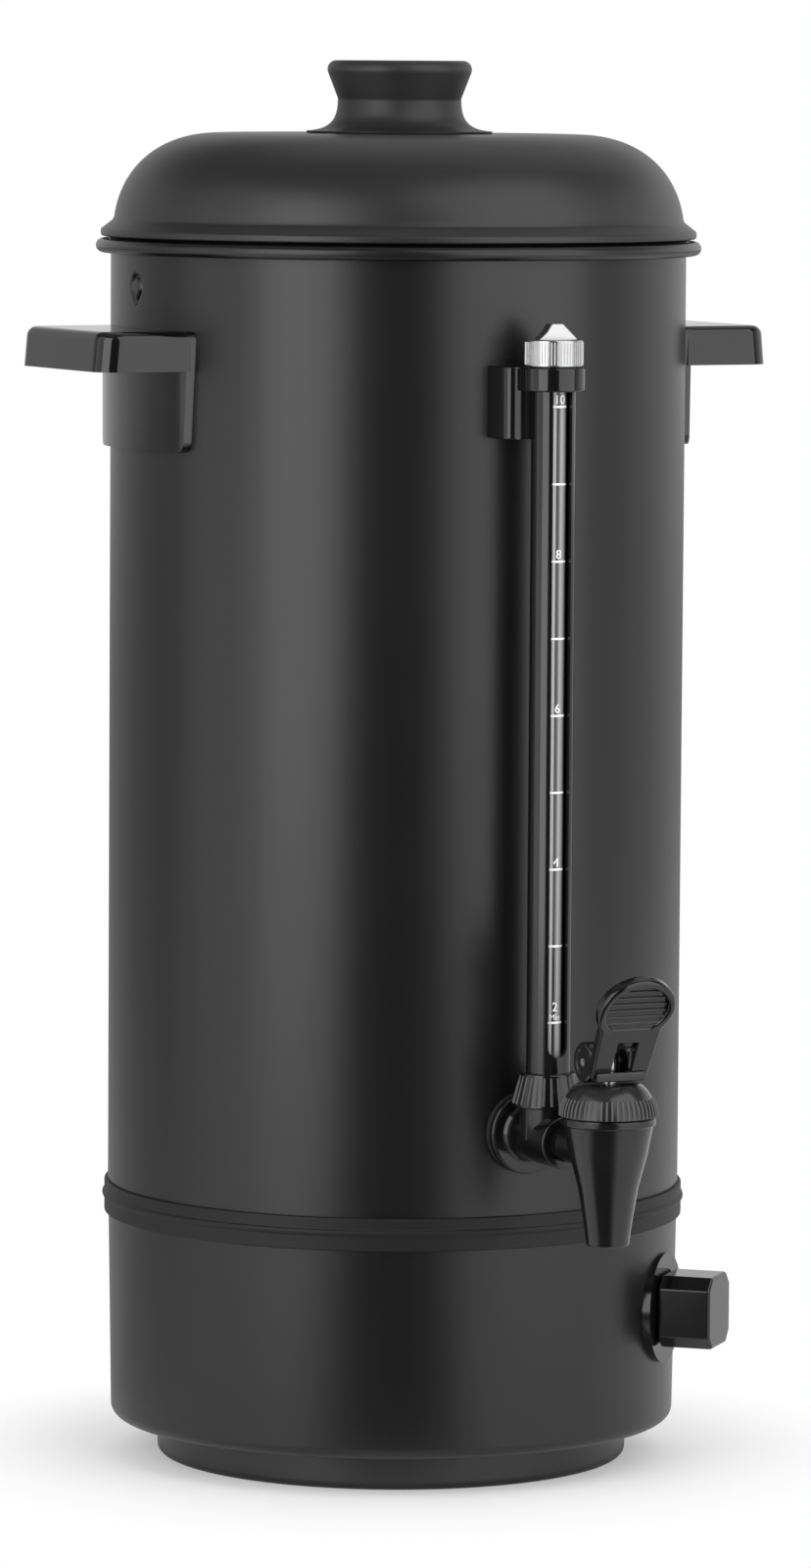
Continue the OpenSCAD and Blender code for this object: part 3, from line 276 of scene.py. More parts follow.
def setStage():
    bm = bmesh.new()
    bmesh.ops.create_grid(bm, x_segments=24, y_segments=24, size=studio["floorHalf"])
    mesh = bpy.data.meshes.new("floor")
    bm.to_mesh(mesh)
    bm.free()
    floor = bpy.data.objects.new("floor", mesh)
    scene.collection.objects.link(floor)
    look = Finish("paleFloor", {"Roughness": 0.7, "Specular IOR Level": 0.1})
    away = look.add("ShaderNodeVectorMath", {"operation": "LENGTH"}, {0: look.place}, out="Value")
    path = look.add("ShaderNodeLightPath")
    pale = look.mix(look.noise(120), *[grey(shade) for shade in studio["floorShade"]])
    front = look.dot(look.place, towardLens)
    left = look.dot(look.place, leftBehind)
    dim = (front / away).ramp(0.86, 0.98) + 0.4 * (left / away).ramp(0.2, 0.8)
    mirrored = path.at("Is Glossy Ray") * away.ramp(0.1, 0.25) * dim
    look.put("Base Color", look.mix(mirrored, pale, grey(studio["floorMirrored"])))
    seen = path.at("Is Camera Ray")
    glow = look.add("ShaderNodeEmission", None, {"Color": grey(1), "Strength": 1.0})
    plain = Wire(look, look.shader.outputs[0])
    white = 0.3 + 0.7 * away.ramp(0.095, 0.2)  # the shadow stays under the urn
    both = look.add("ShaderNodeMixShader", None, {0: seen * white, 1: plain, 2: glow})
    look.feed(look.tree.nodes["Material Output"].inputs["Surface"], both)
    mesh.materials.append(look.material)


def setWorld():
    world = bpy.data.worlds.new("studio")
    world.use_nodes = True
    scene.world = world
    room = Graph(world.node_tree)
    shine = world.node_tree.nodes["Background"]
    way = room.add("ShaderNodeTexCoord").at("Generated")
    front = room.dot(way, towardLens)
    right = room.dot(way, beside)
    up = room.add("ShaderNodeSeparateXYZ", None, {0: way}).at("Z")
    wall = (0 - front).ramp(-0.5, 0.5) * (studio["backWall"] + studio["backSlope"] * right)
    behind = wall * (1 - 0.88 * up.ramp(0.25, 0.65))
    mirrored = studio["gloom"] + behind + studio["ceiling"] * up.ramp(0.6, 0.95)
    path = room.add("ShaderNodeLightPath")
    soft = path.at("Is Diffuse Ray") * studio["soft"]
    sharp = path.at("Is Glossy Ray") * mirrored + path.at("Is Transmission Ray") * studio["throughGlass"]
    room.feed(shine.inputs["Color"], grey(1))
    room.feed(shine.inputs["Strength"], path.at("Is Camera Ray") + soft + sharp)


def softbox(name, turn, tilt, distance, size, level):
    # it looks at the middle of the urn
    data = bpy.data.lights.new(name, "AREA")
    data.shape = "RECTANGLE"
    data.size, data.size_y = size
    data.energy = level * size[0] * size[1] * math.pi
    lamp = bpy.data.objects.new(name, data)
    scene.collection.objects.link(lamp)
    angle = lensTurn + math.radians(turn)
    rise = math.radians(tilt)
    flat = math.cos(rise)
    out = Vector((math.sin(angle) * flat, -math.cos(angle) * flat, math.sin(rise)))
    lamp.location = urnMiddle + out * distance
    lamp.rotation_euler = out.to_track_quat("Z", "Y").to_euler()


def setCamera():
    data = bpy.data.cameras.new("camera")
    data.lens = lens["focal"]
    data.sensor_width = 36
    camera = bpy.data.objects.new("camera", data)
    scene.collection.objects.link(camera)
    scene.camera = camera
    far = lens["distance"]
    camera.location = (math.sin(lensTurn) * far, -math.cos(lensTurn) * far, lens["height"])
    aim = Matrix.Rotation(lensTurn - math.radians(lens["pan"]), 4, "Z")
    tip = Matrix.Rotation(math.radians(90 - lens["tilt"]), 4, "X")
    roll = Matrix.Rotation(math.radians(lens["roll"]), 4, "Z")
    camera.rotation_euler = (aim @ tip @ roll).to_euler()


setStage()
setWorld()
for name, setting in softboxes.items():
    softbox(name, *setting)
setCamera()
print("stage, lights and camera set")


def sized(node):  # lowest and highest corner of a CAD node
    low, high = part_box(node)
    return low / mm, high / mm


def arc(middle, radius, start, end, steps=8):
    turns = [math.radians(start + (end - start) * i / steps) for i in range(steps + 1)]
    return [(middle[0] + radius * math.cos(a), middle[1] + radius * math.sin(a)) for a in turns]


def bezier(p, steps=24):
    made = []
    for i in range(steps + 1):
        t = i / steps
        weights = ((1 - t) ** 3, 3 * t * (1 - t) ** 2, 3 * t * t * (1 - t), t**3)
        made.append(tuple(sum(w * q[k] for w, q in zip(weights, p)) for k in (0, 1)))
    return made


def softened(points, radius, steps=4, sharpest=25):
    # a closed outline with each real corner rounded, a corner's own radius may follow its point
    pull = 0.9  # how much each bend leans into its corner
    made = []
    count = len(points)
    for i, point in enumerate(points):
        here = Vector(point[:2])
        before = Vector(points[i - 1][:2]) - here
        after = Vector(points[(i + 1) % count][:2]) - here
        reach = point[2] if len(point) > 2 else radius
        turn = math.pi - before.angle(after)
        if reach <= 0 or turn < math.radians(sharpest):
            made.append(here[:])
            continue
        back = min(reach * math.tan(turn / 2), 0.48 * before.length, 0.48 * after.length)
        start = here + before.normalized() * back
        end = here + after.normalized() * back
        for k in range(steps + 1):
            t = k / steps
            bend = start * (1 - t) ** 2 + here * 2 * t * (1 - t) * pull + end * t * t
            made.append((bend / ((1 - t) ** 2 + 2 * t * (1 - t) * pull + t * t))[:])
    return made


def lathe(outline, middle=(0, 0), segments=96, turns=None):  # an outline turned about an upright axis
    bm = bmesh.new()
    rings = []
    turns = turns or [math.tau * i / segments for i in range(segments)]
    for r, z in outline:
        stops = turns if r > 1e-4 else turns[:1]
        rings.append(
            [bm.verts.new((middle[0] + r * math.cos(a), middle[1] + r * math.sin(a), z)) for a in stops]
        )
    for a, b in zip(rings, rings[1:] + rings[:1]):
        for i in range(len(turns)):
            j = i + 1
            quad = [a[i % len(a)], a[j % len(a)], b[j % len(b)], b[i % len(b)]]
            corners = [v for k, v in enumerate(quad) if v not in quad[:k]]
            if len(corners) > 2:
                bm.faces.new(corners)
    return bm


def stacked(rings):  # a solid through outlines of equal counts
    bm = bmesh.new()
    rows = [[bm.verts.new(point) for point in ring] for ring in rings]
    bm.faces.new(rows[0][::-1])
    bm.faces.new(rows[-1])
    count = len(rows[0])
    for low, high in zip(rows, rows[1:]):
        for i in range(count):
            j = (i + 1) % count
            bm.faces.new((low[i], low[j], high[j], high[i]))
    return bm


def prism(outline, low, high, edge=0.0):  # a flat outline raised along Z with its edges rounded
    bm = stacked([[(x, y, z) for x, y in outline] for z in (low, high)])
    if edge:
        rims = [e for e in bm.edges if abs(e.verts[0].co.z - e.verts[1].co.z) < 1e-6]
        bmesh.ops.bevel(bm, geom=rims, offset=edge, segments=3, profile=0.5, affect="EDGES")
    return bm


def tempered(bm, matrix=None):  # one mesh object from a finished bmesh, still in millimetres
    if matrix:
        bm.transform(matrix)
    bmesh.ops.recalc_face_normals(bm, faces=bm.faces)
    mesh = bpy.data.meshes.new("shape")
    bm.to_mesh(mesh)
    bm.free()
    made = bpy.data.objects.new("shape", mesh)
    scene.collection.objects.link(made)
    return made


def baked(made):  # modifiers turned into plain mesh
    graph = bpy.context.evaluated_depsgraph_get()
    mesh = bpy.data.meshes.new_from_object(made.evaluated_get(graph))
    made.modifiers.clear()
    old = made.data
    made.data = mesh
    bpy.data.meshes.remove(old)
    return made


def carved(first, others, operation):
    for other in others:
        step = first.modifiers.new("carve", "BOOLEAN")
        step.operation = operation
        step.solver = "EXACT"
        step.object = other
    baked(first)
    for other in others:
        bpy.data.objects.remove(other)
    return first


def bevelled(made, width, angle, segments=3):
    step = made.modifiers.new("edges", "BEVEL")
    step.width = width
    step.segments = segments
    step.limit_method = "ANGLE"
    step.angle_limit = math.radians(angle)
    return baked(made)


def settle(made, name, slot, body, nodes=(), finish=None, angle=38):
    # scale to metres, shade, dress and hang on its body
    made.name = name
    mesh = made.data
    mesh.transform(Matrix.Scale(mm, 4))
    mesh.materials.clear()
    mesh.materials.append(finish or finishes[slot])
    mesh.polygons.foreach_set("use_smooth", [True] * len(mesh.polygons))
    mesh.set_sharp_from_angle(angle=math.radians(angle))
    even = made.modifiers.new("even", "WEIGHTED_NORMAL")
    even.keep_sharp = True
    baked(made)
    made.data.name = name
    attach(made, body)
    if nodes:
        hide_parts(*nodes)
    return made


tank = {
    "radius": 110,
    "wall": 1,
    "rim": 465.2,  # middle of the rolled bead
    "beadRadius": 2.65,
    "beadOut": 3.1,
    "edge": 3.5,  # the inner edge stands this much above it
    "dimpleDrop": 15.2,
    "dimpleRadius": 4,
    "dimpleTip": -5.4,
    "dimpleDepth": 1.1,
    "dimpleLine": 1.5,
}


def offLine(point, start, end):  # distance of a point from a short line
    along = Vector(end) - Vector(start)
    reach = Vector(point) - Vector(start)
    return (reach - along * max(0, min(1, reach.dot(along) / along.length_squared))).length


def dented(bm, side):  # the outline of a small drop pressed into the wall on one side
    r = tank["radius"]
    middle = tank["rim"] - tank["dimpleDrop"]
    drop = arc((0, 0.6), tank["dimpleRadius"], -25, 205, 24) + [(0, tank["dimpleTip"])]
    for v in bm.verts:
        z = v.co.z - middle
        away = v.co.x * side < 0 or abs(v.co.y) > 6.5 or abs(z) > 7.5
        if away or v.co.xy.length < r - 0.4:
            continue
        gap = min(offLine((v.co.y, z), a, b) for a, b in zip(drop, drop[1:] + drop[:1]))
        level = max(0, 1 - gap / tank["dimpleLine"])
        v.co.xy = v.co.xy.normalized() * (r - tank["dimpleDepth"] * level * level * (3 - 2 * level))


def makeTank():
    r, rim = tank["radius"], tank["rim"]
    low = sized("tank_shell")[0].z
    middle = rim - tank["dimpleDrop"]
    heights = [low, 200, 320, 400, 430] + [middle + 0.5 * k for k in range(-16, 17)]
    rows = [(r, z) for z in heights]
    bulge = tank["beadRadius"]
    bead = [(r, rim - bulge)] + arc((r + tank["beadOut"], rim), bulge, 258, 498, 36)
    inner = r - tank["wall"]
    # close steps by the two drops, wide ones between them
    quarter = [0.25 * k for k in range(15)] + [3.85, 4.35, 5.1, 6.1, 7.5]
    quarter += [9 + 1.5 * k for k in range(55)]
    half = quarter + [180 - a for a in quarter[-2:0:-1]]
    turns = [math.radians(a) for a in half + [180 + a for a in half]]
    edge = rim + tank["edge"]
    inside = [(r + 0.2, edge), (inner, edge), (inner, 320), (inner, low)]
    bm = lathe(rows + bead + inside, turns=turns)
    for side in (-1, 1):
        dented(bm, side)
    settle(tempered(bm), "tankWall", "satin_black_paint", "urn", ["tank_shell"], angle=50)


band = {
    "foot": 93.9,
    "top": 106.4,
    "inner": 110.05,
    "face": 111.4,
    "bead": 112.2,
    "beadRadius": 1.4,
    "beadHeight": 100.8,
    "beadHalf": 1.7,
}


def makeBand():  # joint strip between tank and base, with a slim bead along it
    middle, face, half, bulge = band["beadHeight"], band["face"], band["beadHalf"], band["beadRadius"]
    ring = [(band["inner"], band["foot"]), (face, band["foot"], 1.0), (face, middle - half, 0.8)]
    ring += arc((band["bead"] - bulge, middle), bulge, -62, 62, 12)
    ring += [(face, middle + half, 0.8), (face, band["top"], 1.0), (band["inner"], band["top"])]
    made = tempered(lathe(softened(ring, 0, 5, 18), segments=240))
    settle(made, "seamBand", "satin_black_paint", "urn", ["seam_band"], stripPaint, 50)


base = {
    "topRadius": 109.8,
    "lowRadius": 108.6,
    "foot": 14.5,
    "seam": 99,
    "corner": 4.5,
    "wall": 1.2,
    "flange": 60,
    "inlet": (13.6, 9.8),  # half its width and height
}


def makeBase():
    corner, wall, foot = base["corner"], base["wall"], base["foot"]
    outer = arc((base["lowRadius"] - corner, foot + corner), corner, -90, 0, 12)
    inner = arc((base["lowRadius"] - corner, foot + corner), corner - wall, -90, 0, 12)
    flange = base["flange"]
    ring = [(flange, foot)] + outer + [(base["topRadius"], base["seam"])]
    ring += [(base["topRadius"] - wall, base["seam"])] + inner[::-1] + [(flange, foot + wall)]
    shell = tempered(lathe(ring, segments=240))
    low, high = sized("inlet_pins")
    middle = (low.z + high.z) / 2
    wide, tall = base["inlet"]
    corners = [(-wide, -tall), (wide, -tall), (wide, tall), (-wide, tall)]
    slot = softened([(x, middle + z) for x, z in corners], 1)
    toRear = Matrix(((1, 0, 0, 0), (0, 0, 1, 0), (0, 1, 0, 0), (0, 0, 0, 1)))
    hole = tempered(prism(slot, 90, 120), toRear)
    carved(shell, [hole], "DIFFERENCE")
    settle(shell, "baseHousing", "satin_black_paint", "urn", ["base_housing"], angle=50)


lid = {
    "foot": 469.5,
    # radius, height and own corner radius along the lip
    "lip": [(107.8, 0, 0.3), (111, -0.6, 0.6), (113.9, -0.8, 1), (113.9, 1.9, 1.2), (109.4, 5.4, 1.4)],
    "dome": [(108.8, 6.7), (106.4, 24.4), (93, 38.2), (70, 38.7)],
    "under": [(107.8, 5.2), (105.4, 23.8), (92.2, 37.2), (70, 37.7)],
    "wall": 1,
}


def makeLid():
    z = lid["foot"]
    top = lid["dome"][-1][1]
    crown = [(0, top), (0, top - lid["wall"])]
    ring = lid["lip"] + bezier(lid["dome"], 40) + crown + bezier(lid["under"], 40)[::-1]
    ring = softened(ring, 0)
    made = tempered(lathe([(r, z + h) for r, h in ring], segments=240))
    settle(made, "lidShell", "satin_black_paint", "lid", ["lid_shell"], lidPaint, 45)


knob = {
    "foot": 508.2,
    "height": 27.8,
    "footRadius": 35.5,
    "waist": 23.6,
    "rim": 3.4,
    "rimMiddle": 24.2,
    "dish": [(23.0, 27.75), (18, 27.4), (9, 27.15), (0, 27.1)],
}


def makeKnob():
    z, foot, waist = knob["foot"], knob["footRadius"], knob["waist"]
    flare = bezier([(foot, 1), (26, 1.5), (waist, 5.5), (waist, 13.34)], 20)
    rim = arc((knob["rimMiddle"], knob["height"] - knob["rim"]), knob["rim"], -20, 90, 12)
    ring = [(0, 0), (foot - 0.3, 0), (foot, 0.35)] + flare + rim + knob["dish"]
    made = tempered(lathe([(r, z + h) for r, h in ring], segments=144))
    settle(made, "lidKnob", "satin_black_plastic", "lid", ["lid_knob"], spoolPlastic, 45)


handle = {
    "top": 435,
    "ledge": 15,
    "root": 90,  # the ledge starts inside the tank and is cut to the wall
    "reach": 142,
    "width": 78,
    "corner": 9,
    "wall": 3,
    "soft": 3.4,
    "slope": 0.09,
    "plate": 113.4,
    "drop": 45.5,
    "bosses": (-14, 14),
}


def ledgePlan(reach, half, corner):
    right = arc((reach - corner, corner - half), corner, -90, 0, 10)
    left = arc((reach - corner, half - corner), corner, 0, 90, 10)
    return [(handle["root"], -half)] + right + left + [(handle["root"], half)]


def pillar(radius):  # an upright drum at the height of the handles
    low, high = 380, 450
    return tempered(lathe([(0, low), (radius, low), (radius, high), (0, high)], segments=360))


def makeHandle(name, node, turn):
    top, half, wall = handle["top"], handle["width"] / 2, handle["wall"]
    foot = top - handle["ledge"]
    toSide = Matrix(((0, 0, 1, 0), (1, 0, 0, 0), (0, 1, 0, 0), (0, 0, 0, 1)))
    low = half - 2  # the plate narrows towards its foot
    bottom = top - handle["drop"]
    face = arc((half - 3, top - 3), 3, 0, 90, 6) + arc((3 - half, top - 3), 3, 90, 180, 6)
    face += arc((4 - low, bottom + 4), 4, 180, 270, 8)
    face += arc((low - 4, bottom + 4), 4, 270, 360, 8)
    plate = tempered(prism(face, 80, 130), toSide)
    carved(plate, [pillar(handle["plate"])], "INTERSECT")
    bevelled(plate, 0.7, 50)
    carved(plate, [pillar(tank["radius"] + 0.1)], "DIFFERENCE")
    soft = handle["soft"]
    levels = [(foot, 0)] + [(top - soft + z, soft - r) for r, z in arc((0, 0), soft, 0, 90, 8)]
    rings = []
    for z, inset in levels:  # the end of the ledge leans back a little
        reach = handle["reach"] - handle["slope"] * (z - foot) - inset
        rings.append([(x, y, z) for x, y in ledgePlan(reach, half - inset, handle["corner"] - inset)])
    tray = tempered(stacked(rings))
    inner = ledgePlan(handle["reach"] - wall, half - wall, handle["corner"] - wall)
    hollow = [(x - 5 if x == handle["root"] else x, y) for x, y in inner]
    carved(tray, [tempered(prism(hollow, foot - 5, top - wall))], "DIFFERENCE")
    bevelled(tray, 0.9, 50, 4)
    carved(tray, [pillar(handle["plate"] - 1.2)], "DIFFERENCE")
    bosses = []
    for angle in handle["bosses"]:
        boss = lathe(softened([(0, 112.5), (4, 112.5), (4, 124, 0.6), (0, 124)], 0), segments=40)
        lie = Matrix.Translation((0, 0, foot + 5.25)) @ Matrix.Rotation(math.radians(angle), 4, "Z")
        bosses.append(tempered(boss, lie @ Matrix.Rotation(math.radians(90), 4, "Y")))
    carved(plate, [tray] + bosses, "UNION")
    plate.data.transform(Matrix.Rotation(turn, 4, "Z"))
    settle(plate, name, "gloss_black_plastic", "urn", [node])


makeTank()
makeBand()
makeBase()
makeLid()
makeKnob()
makeHandle("rightHandle", "right_handle", 0)
makeHandle("leftHandle", "left_handle", math.pi)
print("tank, base, lid and handles made")


class Pattern(Graph):  # a Geometry Nodes tree for what repeats, with named inputs
    def __init__(self, name, inputs):
        tree = bpy.data.node_groups.new(name, "GeometryNodeTree")
        super().__init__(tree)
        tree.interface.new_socket("Geometry", in_out="OUTPUT", socket_type="NodeSocketGeometry")
        for title, kind in inputs.items():
            tree.interface.new_socket(title, in_out="INPUT", socket_type="NodeSocket" + kind)
        tree.interface.new_socket("Finish", in_out="INPUT", socket_type="NodeSocketMaterial")
        self.entry = tree.nodes.new("NodeGroupInput")
        self.exit = tree.nodes.new("NodeGroupOutput")

    def given(self, title):
        return Wire(self, self.entry.outputs[title])

    def vector(self, x=0.0, y=0.0, z=0.0):
        return self.add("ShaderNodeCombineXYZ", None, {"X": x, "Y": y, "Z": z})

    def row(self, count, start, step):  # points in a straight row
        return self.add(
            "GeometryNodeMeshLine", None, {"Count": count, "Start Location": start, "Offset": step}
        )

    def swept(self, path, profile):
        return self.add(
            "GeometryNodeCurveToMesh", None, {"Curve": path, "Profile Curve": profile, "Fill Caps": True}
        )

    def close(self, copies):
        solid = self.add("GeometryNodeRealizeInstances", None, {"Geometry": copies})
        finish = self.given("Finish")
        dressed = self.add("GeometryNodeSetMaterial", None, {"Geometry": solid, "Material": finish})
        self.feed(self.exit.inputs["Geometry"], dressed)

    def grown(self, values, matrix=None):  # a plain mesh made by the tree
        made = bpy.data.objects.new("shape", bpy.data.meshes.new("shape"))
        scene.collection.objects.link(made)
        step = made.modifiers.new("pattern", "NODES")
        step.node_group = self.tree
        for item in self.tree.interface.items_tree:
            if item.in_out == "INPUT":
                step[item.identifier] = values[item.name]
        baked(made)
        if matrix:
            made.data.transform(matrix)
        bm = bmesh.new()
        bm.from_mesh(made.data)
        bmesh.ops.recalc_face_normals(bm, faces=bm.faces)
        bm.to_mesh(made.data)
        bm.free()
        return made


def ribRing():  # half-sunk round ribs up a turned surface
    tree = Pattern(
        "ribRing",
        {"Count": "Int", "Foot": "Vector", "Bend": "Vector", "Head": "Vector", "Width": "Float"},
    )
    path = tree.add(
        "GeometryNodeCurveQuadraticBezier",
        None,
        {
            "Resolution": 6,
            "Start": tree.given("Foot"),
            "Middle": tree.given("Bend"),
            "End": tree.given("Head"),
        },
    )
    profile = tree.add(
        "GeometryNodeCurvePrimitiveCircle", None, {"Resolution": 10, "Radius": tree.given("Width") / 2}
    )
    turn = tree.add("GeometryNodeInputIndex") / tree.given("Count") * math.tau
    spin = tree.add("FunctionNodeAxisAngleToRotation", None, {"Axis": (0, 0, 1), "Angle": turn})
    copies = tree.add(
        "GeometryNodeInstanceOnPoints",
        None,
        {
            "Points": tree.row(tree.given("Count"), (0, 0, 0), (0, 0, 0)),
            "Instance": tree.swept(path, profile),
            "Rotation": spin,
        },
    )
    tree.close(copies)
    return tree


def litreScale():  # short printed lines up a round tube
    tree = Pattern(
        "litreScale",
        {
            "Count": "Int",
            "First": "Float",
            "Pitch": "Float",
            "Radius": "Float",
            "Sweep": "Float",
            "Line": "Float",
        },
    )
    sweep = tree.given("Sweep")
    path = tree.add(
        "GeometryNodeCurveArc",
        None,
        {
            "Resolution": 17,
            "Radius": tree.given("Radius"),
            "Start Angle": -math.pi / 2 - sweep / 2,
            "Sweep Angle": sweep,
        },
    )
    profile = tree.add(
        "GeometryNodeCurvePrimitiveQuadrilateral", None, {"Width": 0.1, "Height": tree.given("Line")}
    )
    start = tree.vector(z=tree.given("First"))
    step = tree.vector(z=0 - tree.given("Pitch"))
    copies = tree.add(
        "GeometryNodeInstanceOnPoints",
        None,
        {"Points": tree.row(tree.given("Count"), start, step), "Instance": tree.swept(path, profile)},
    )
    tree.close(copies)
    return tree


def ovalRibs():  # straight ribs across an oval, each as long as the oval is there
    tree = Pattern(
        "ovalRibs",
        {"Count": "Int", "Pitch": "Float", "Across": "Float", "Along": "Float", "Width": "Float"},
    )
    path = tree.add("GeometryNodeCurvePrimitiveLine", None, {"Start": (-1, 0, 0), "End": (1, 0, 0)})
    profile = tree.add(
        "GeometryNodeCurvePrimitiveCircle", None, {"Resolution": 12, "Radius": tree.given("Width") / 2}
    )
    first = (1 - tree.given("Count")) * tree.given("Pitch") / 2
    points = tree.row(tree.given("Count"), tree.vector(y=first), tree.vector(y=tree.given("Pitch")))
    place = tree.add("ShaderNodeSeparateXYZ", None, {0: tree.add("GeometryNodeInputPosition")}).at("Y")
    off = place / tree.given("Along")
    chord = tree.add("ShaderNodeMath", {"operation": "SQRT"}, {0: 1 - off * off}) * tree.given("Across")
    copies = tree.add(
        "GeometryNodeInstanceOnPoints",
        None,
        {"Points": points, "Instance": tree.swept(path, profile), "Scale": tree.vector(chord, 1.0, 1.0)},
    )
    tree.close(copies)
    return tree


knurl = ribRing()
marks = litreScale()
padGrip = ovalRibs()

gauge = {
    "y": -130,
    "glass": 5,
    "guard": 8.25,
    "guardIn": 6.25,
    "window": 4,
    "windowFoot": 172.8,
    "ring": 11.6,
    "ringFoot": 415.2,
}
onGauge = Matrix.Translation((0, gauge["y"], 0))
standing = Matrix(((1, 0, 0, 0), (0, 0, -1, 0), (0, 1, 0, 0), (0, 0, 0, 1)))  # a flat outline stood up


def turnedOnGauge(outline):
    return lathe(outline, (0, gauge["y"]))


def makeGuard():  # slotted cover of the sight tube
    low, high = sized("gauge_guard")
    outer, inner = gauge["guard"], gauge["guardIn"]
    cover = tempered(turnedOnGauge([(inner, low.z), (outer, low.z), (outer, high.z), (inner, high.z)]))
    half, foot = gauge["window"], gauge["windowFoot"]
    slot = arc((0, foot), half, 180, 360, 20) + [(half, gauge["ringFoot"]), (-half, gauge["ringFoot"])]
    carved(cover, [tempered(prism(slot, 0.5, 20), onGauge @ standing)], "DIFFERENCE")
    bevelled(cover, 0.3, 45, 2)
    settle(cover, "gaugeGuard", "gloss_black_plastic", "urn", ["gauge_guard"])


bracket = {"left": -16.6, "right": 8, "front": -125.3, "round": 5}


def makeBracket():
    low, high = sized("gauge_bracket")
    left, right, front = bracket["left"], bracket["right"], bracket["front"]
    wall = tank["radius"] + 0.1
    angles = [math.asin(x / wall) for x in (right, 4, 0, -6, -12, left)]
    rear = [(wall * math.sin(a), -wall * math.cos(a)) for a in angles]
    plan = softened(rear + [(left, front, bracket["round"]), (right, front, 0.8)], 0, 8)
    block = tempered(prism(plan, low.z, high.z, 0.6))
    clamp, foot, bore = gauge["ring"], gauge["ringFoot"], gauge["guard"] + 0.05
    ring = [(5, foot), (clamp, foot, 0.8), (clamp, high.z, 0.8), (5, high.z)]
    carved(block, [tempered(turnedOnGauge(softened(ring, 0)))], "UNION")
    hole = [(0, low.z - 5), (bore, low.z - 5), (bore, high.z + 5), (0, high.z + 5)]
    carved(block, [tempered(turnedOnGauge(hole))], "DIFFERENCE")
    settle(block, "gaugeBracket", "gloss_black_plastic", "urn", ["gauge_bracket"])


cap = {
    "radius": 10.7,
    "foot": 424.3,
    "top": 434.3,
    "bore": 8.35,
    "boreTop": 428.6,
    "wing": 14,
    "wingHeight": 6.3,
    "wingThick": 5,
    "ribs": 56,
    "ribWidth": 0.62,
}


def makeCap():
    foot, top, r = cap["foot"], cap["top"], cap["radius"]
    bore, boreTop = cap["bore"], cap["boreTop"]
    outline = [(bore, foot), (r, foot, 0.5), (r, top, 0.9), (0, top), (0, boreTop), (bore, boreTop)]
    body = tempered(turnedOnGauge(softened(outline, 0)))
    w, h, t = cap["wing"], cap["wingHeight"], cap["wingThick"]
    # the gable outline of the wing, starting at its foot
    fin = [(-w / 2, -1.5), (w * 0.6, -1.5), (w * 0.6, 0.3), (w * 0.18, h - 0.5)]
    fin += [(-w * 0.16, h - 0.5), (-w * 0.3, h * 0.45), (-w / 2, 0.3)]
    onTop = Matrix.Translation((0, gauge["y"], top)) @ standing
    wing = bevelled(tempered(prism(fin, -t / 2, t / 2), onTop), 0.6, 20)
    carved(body, [wing], "UNION")
    settle(body, "gaugeCap", "chrome", "cap", ["gauge_cap"])
    grip = {
        "Count": cap["ribs"],
        "Foot": (r - 0.1, 0, foot + 0.7),
        "Bend": (r - 0.1, 0, (foot + top) / 2),
        "Head": (r - 0.1, 0, top - 1.0),
        "Width": cap["ribWidth"],
        "Finish": finishes["chrome"],
    }
    settle(knurl.grown(grip, onGauge), "gaugeCapKnurl", "chrome", "cap")


nut = {
    "foot": 150,
    "top": 162.8,
    "footRadius": 13.1,
    "topRadius": 10.1,
    "bore": 6.4,
    "socket": 8.3,
    "socketFoot": 159.6,
    "ribs": 26,
    "ribWidth": 1.1,
}


def makeNut():
    low, high = nut["footRadius"], nut["topRadius"]
    foot, top, step = nut["foot"], nut["top"], nut["socketFoot"]
    outline = [(nut["bore"], foot), (low, foot, 0.7), (high, top, 0.9)]
    outline += [(nut["socket"], top), (nut["socket"], step), (nut["bore"], step)]
    cone = tempered(turnedOnGauge(softened(outline, 0)))
    settle(cone, "gaugeNut", "gloss_black_plastic", "urn", ["gauge_nut"])
    grip = {
        "Count": nut["ribs"],
        "Foot": (low - 0.25, 0, foot + 1.2),
        "Bend": ((low + high) / 2 - 0.1, 0, (foot + top) / 2),
        "Head": (high - 0.1, 0, top - 1.3),
        "Width": nut["ribWidth"],
        "Finish": ribPlastic,
    }
    ridges = knurl.grown(grip, onGauge)
    settle(ridges, "gaugeNutKnurl", "gloss_black_plastic", "urn", finish=ribPlastic)


litres = {
    "full": 409.6,
    "pitch": 28.5,
    "count": 9,
    "line": 0.8,
    "sweep": 80,
    "figures": (10, 8, 6, 4, 2),
    "height": 3.3,
    "lowest": "Min",
    "lowestHeight": 2.2,
}


def printed(text, z, height):  # figures wrapped on the tube
    words = bpy.data.curves.new("figures", "FONT")
    words.body = text
    words.size = height * 1.42
    words.align_x = "CENTER"
    words.resolution_u = 4
    made = bpy.data.objects.new("shape", words)
    scene.collection.objects.link(made)
    graph = bpy.context.evaluated_depsgraph_get()
    mesh = bpy.data.meshes.new_from_object(made.evaluated_get(graph))
    bpy.data.objects.remove(made)
    bm = bmesh.new()
    bm.from_mesh(mesh)
    bmesh.ops.remove_doubles(bm, verts=bm.verts, dist=1e-4)
    skin = bmesh.ops.extrude_face_region(bm, geom=bm.faces[:])
    front = {v for v in skin["geom"] if isinstance(v, bmesh.types.BMVert)}
    for v in bm.verts:
        r = gauge["glass"] + (0.09 if v in front else 0.01)
        angle = v.co.x / gauge["glass"]
        v.co = (r * math.sin(angle), gauge["y"] - r * math.cos(angle), z + v.co.y)
    return tempered(bm)


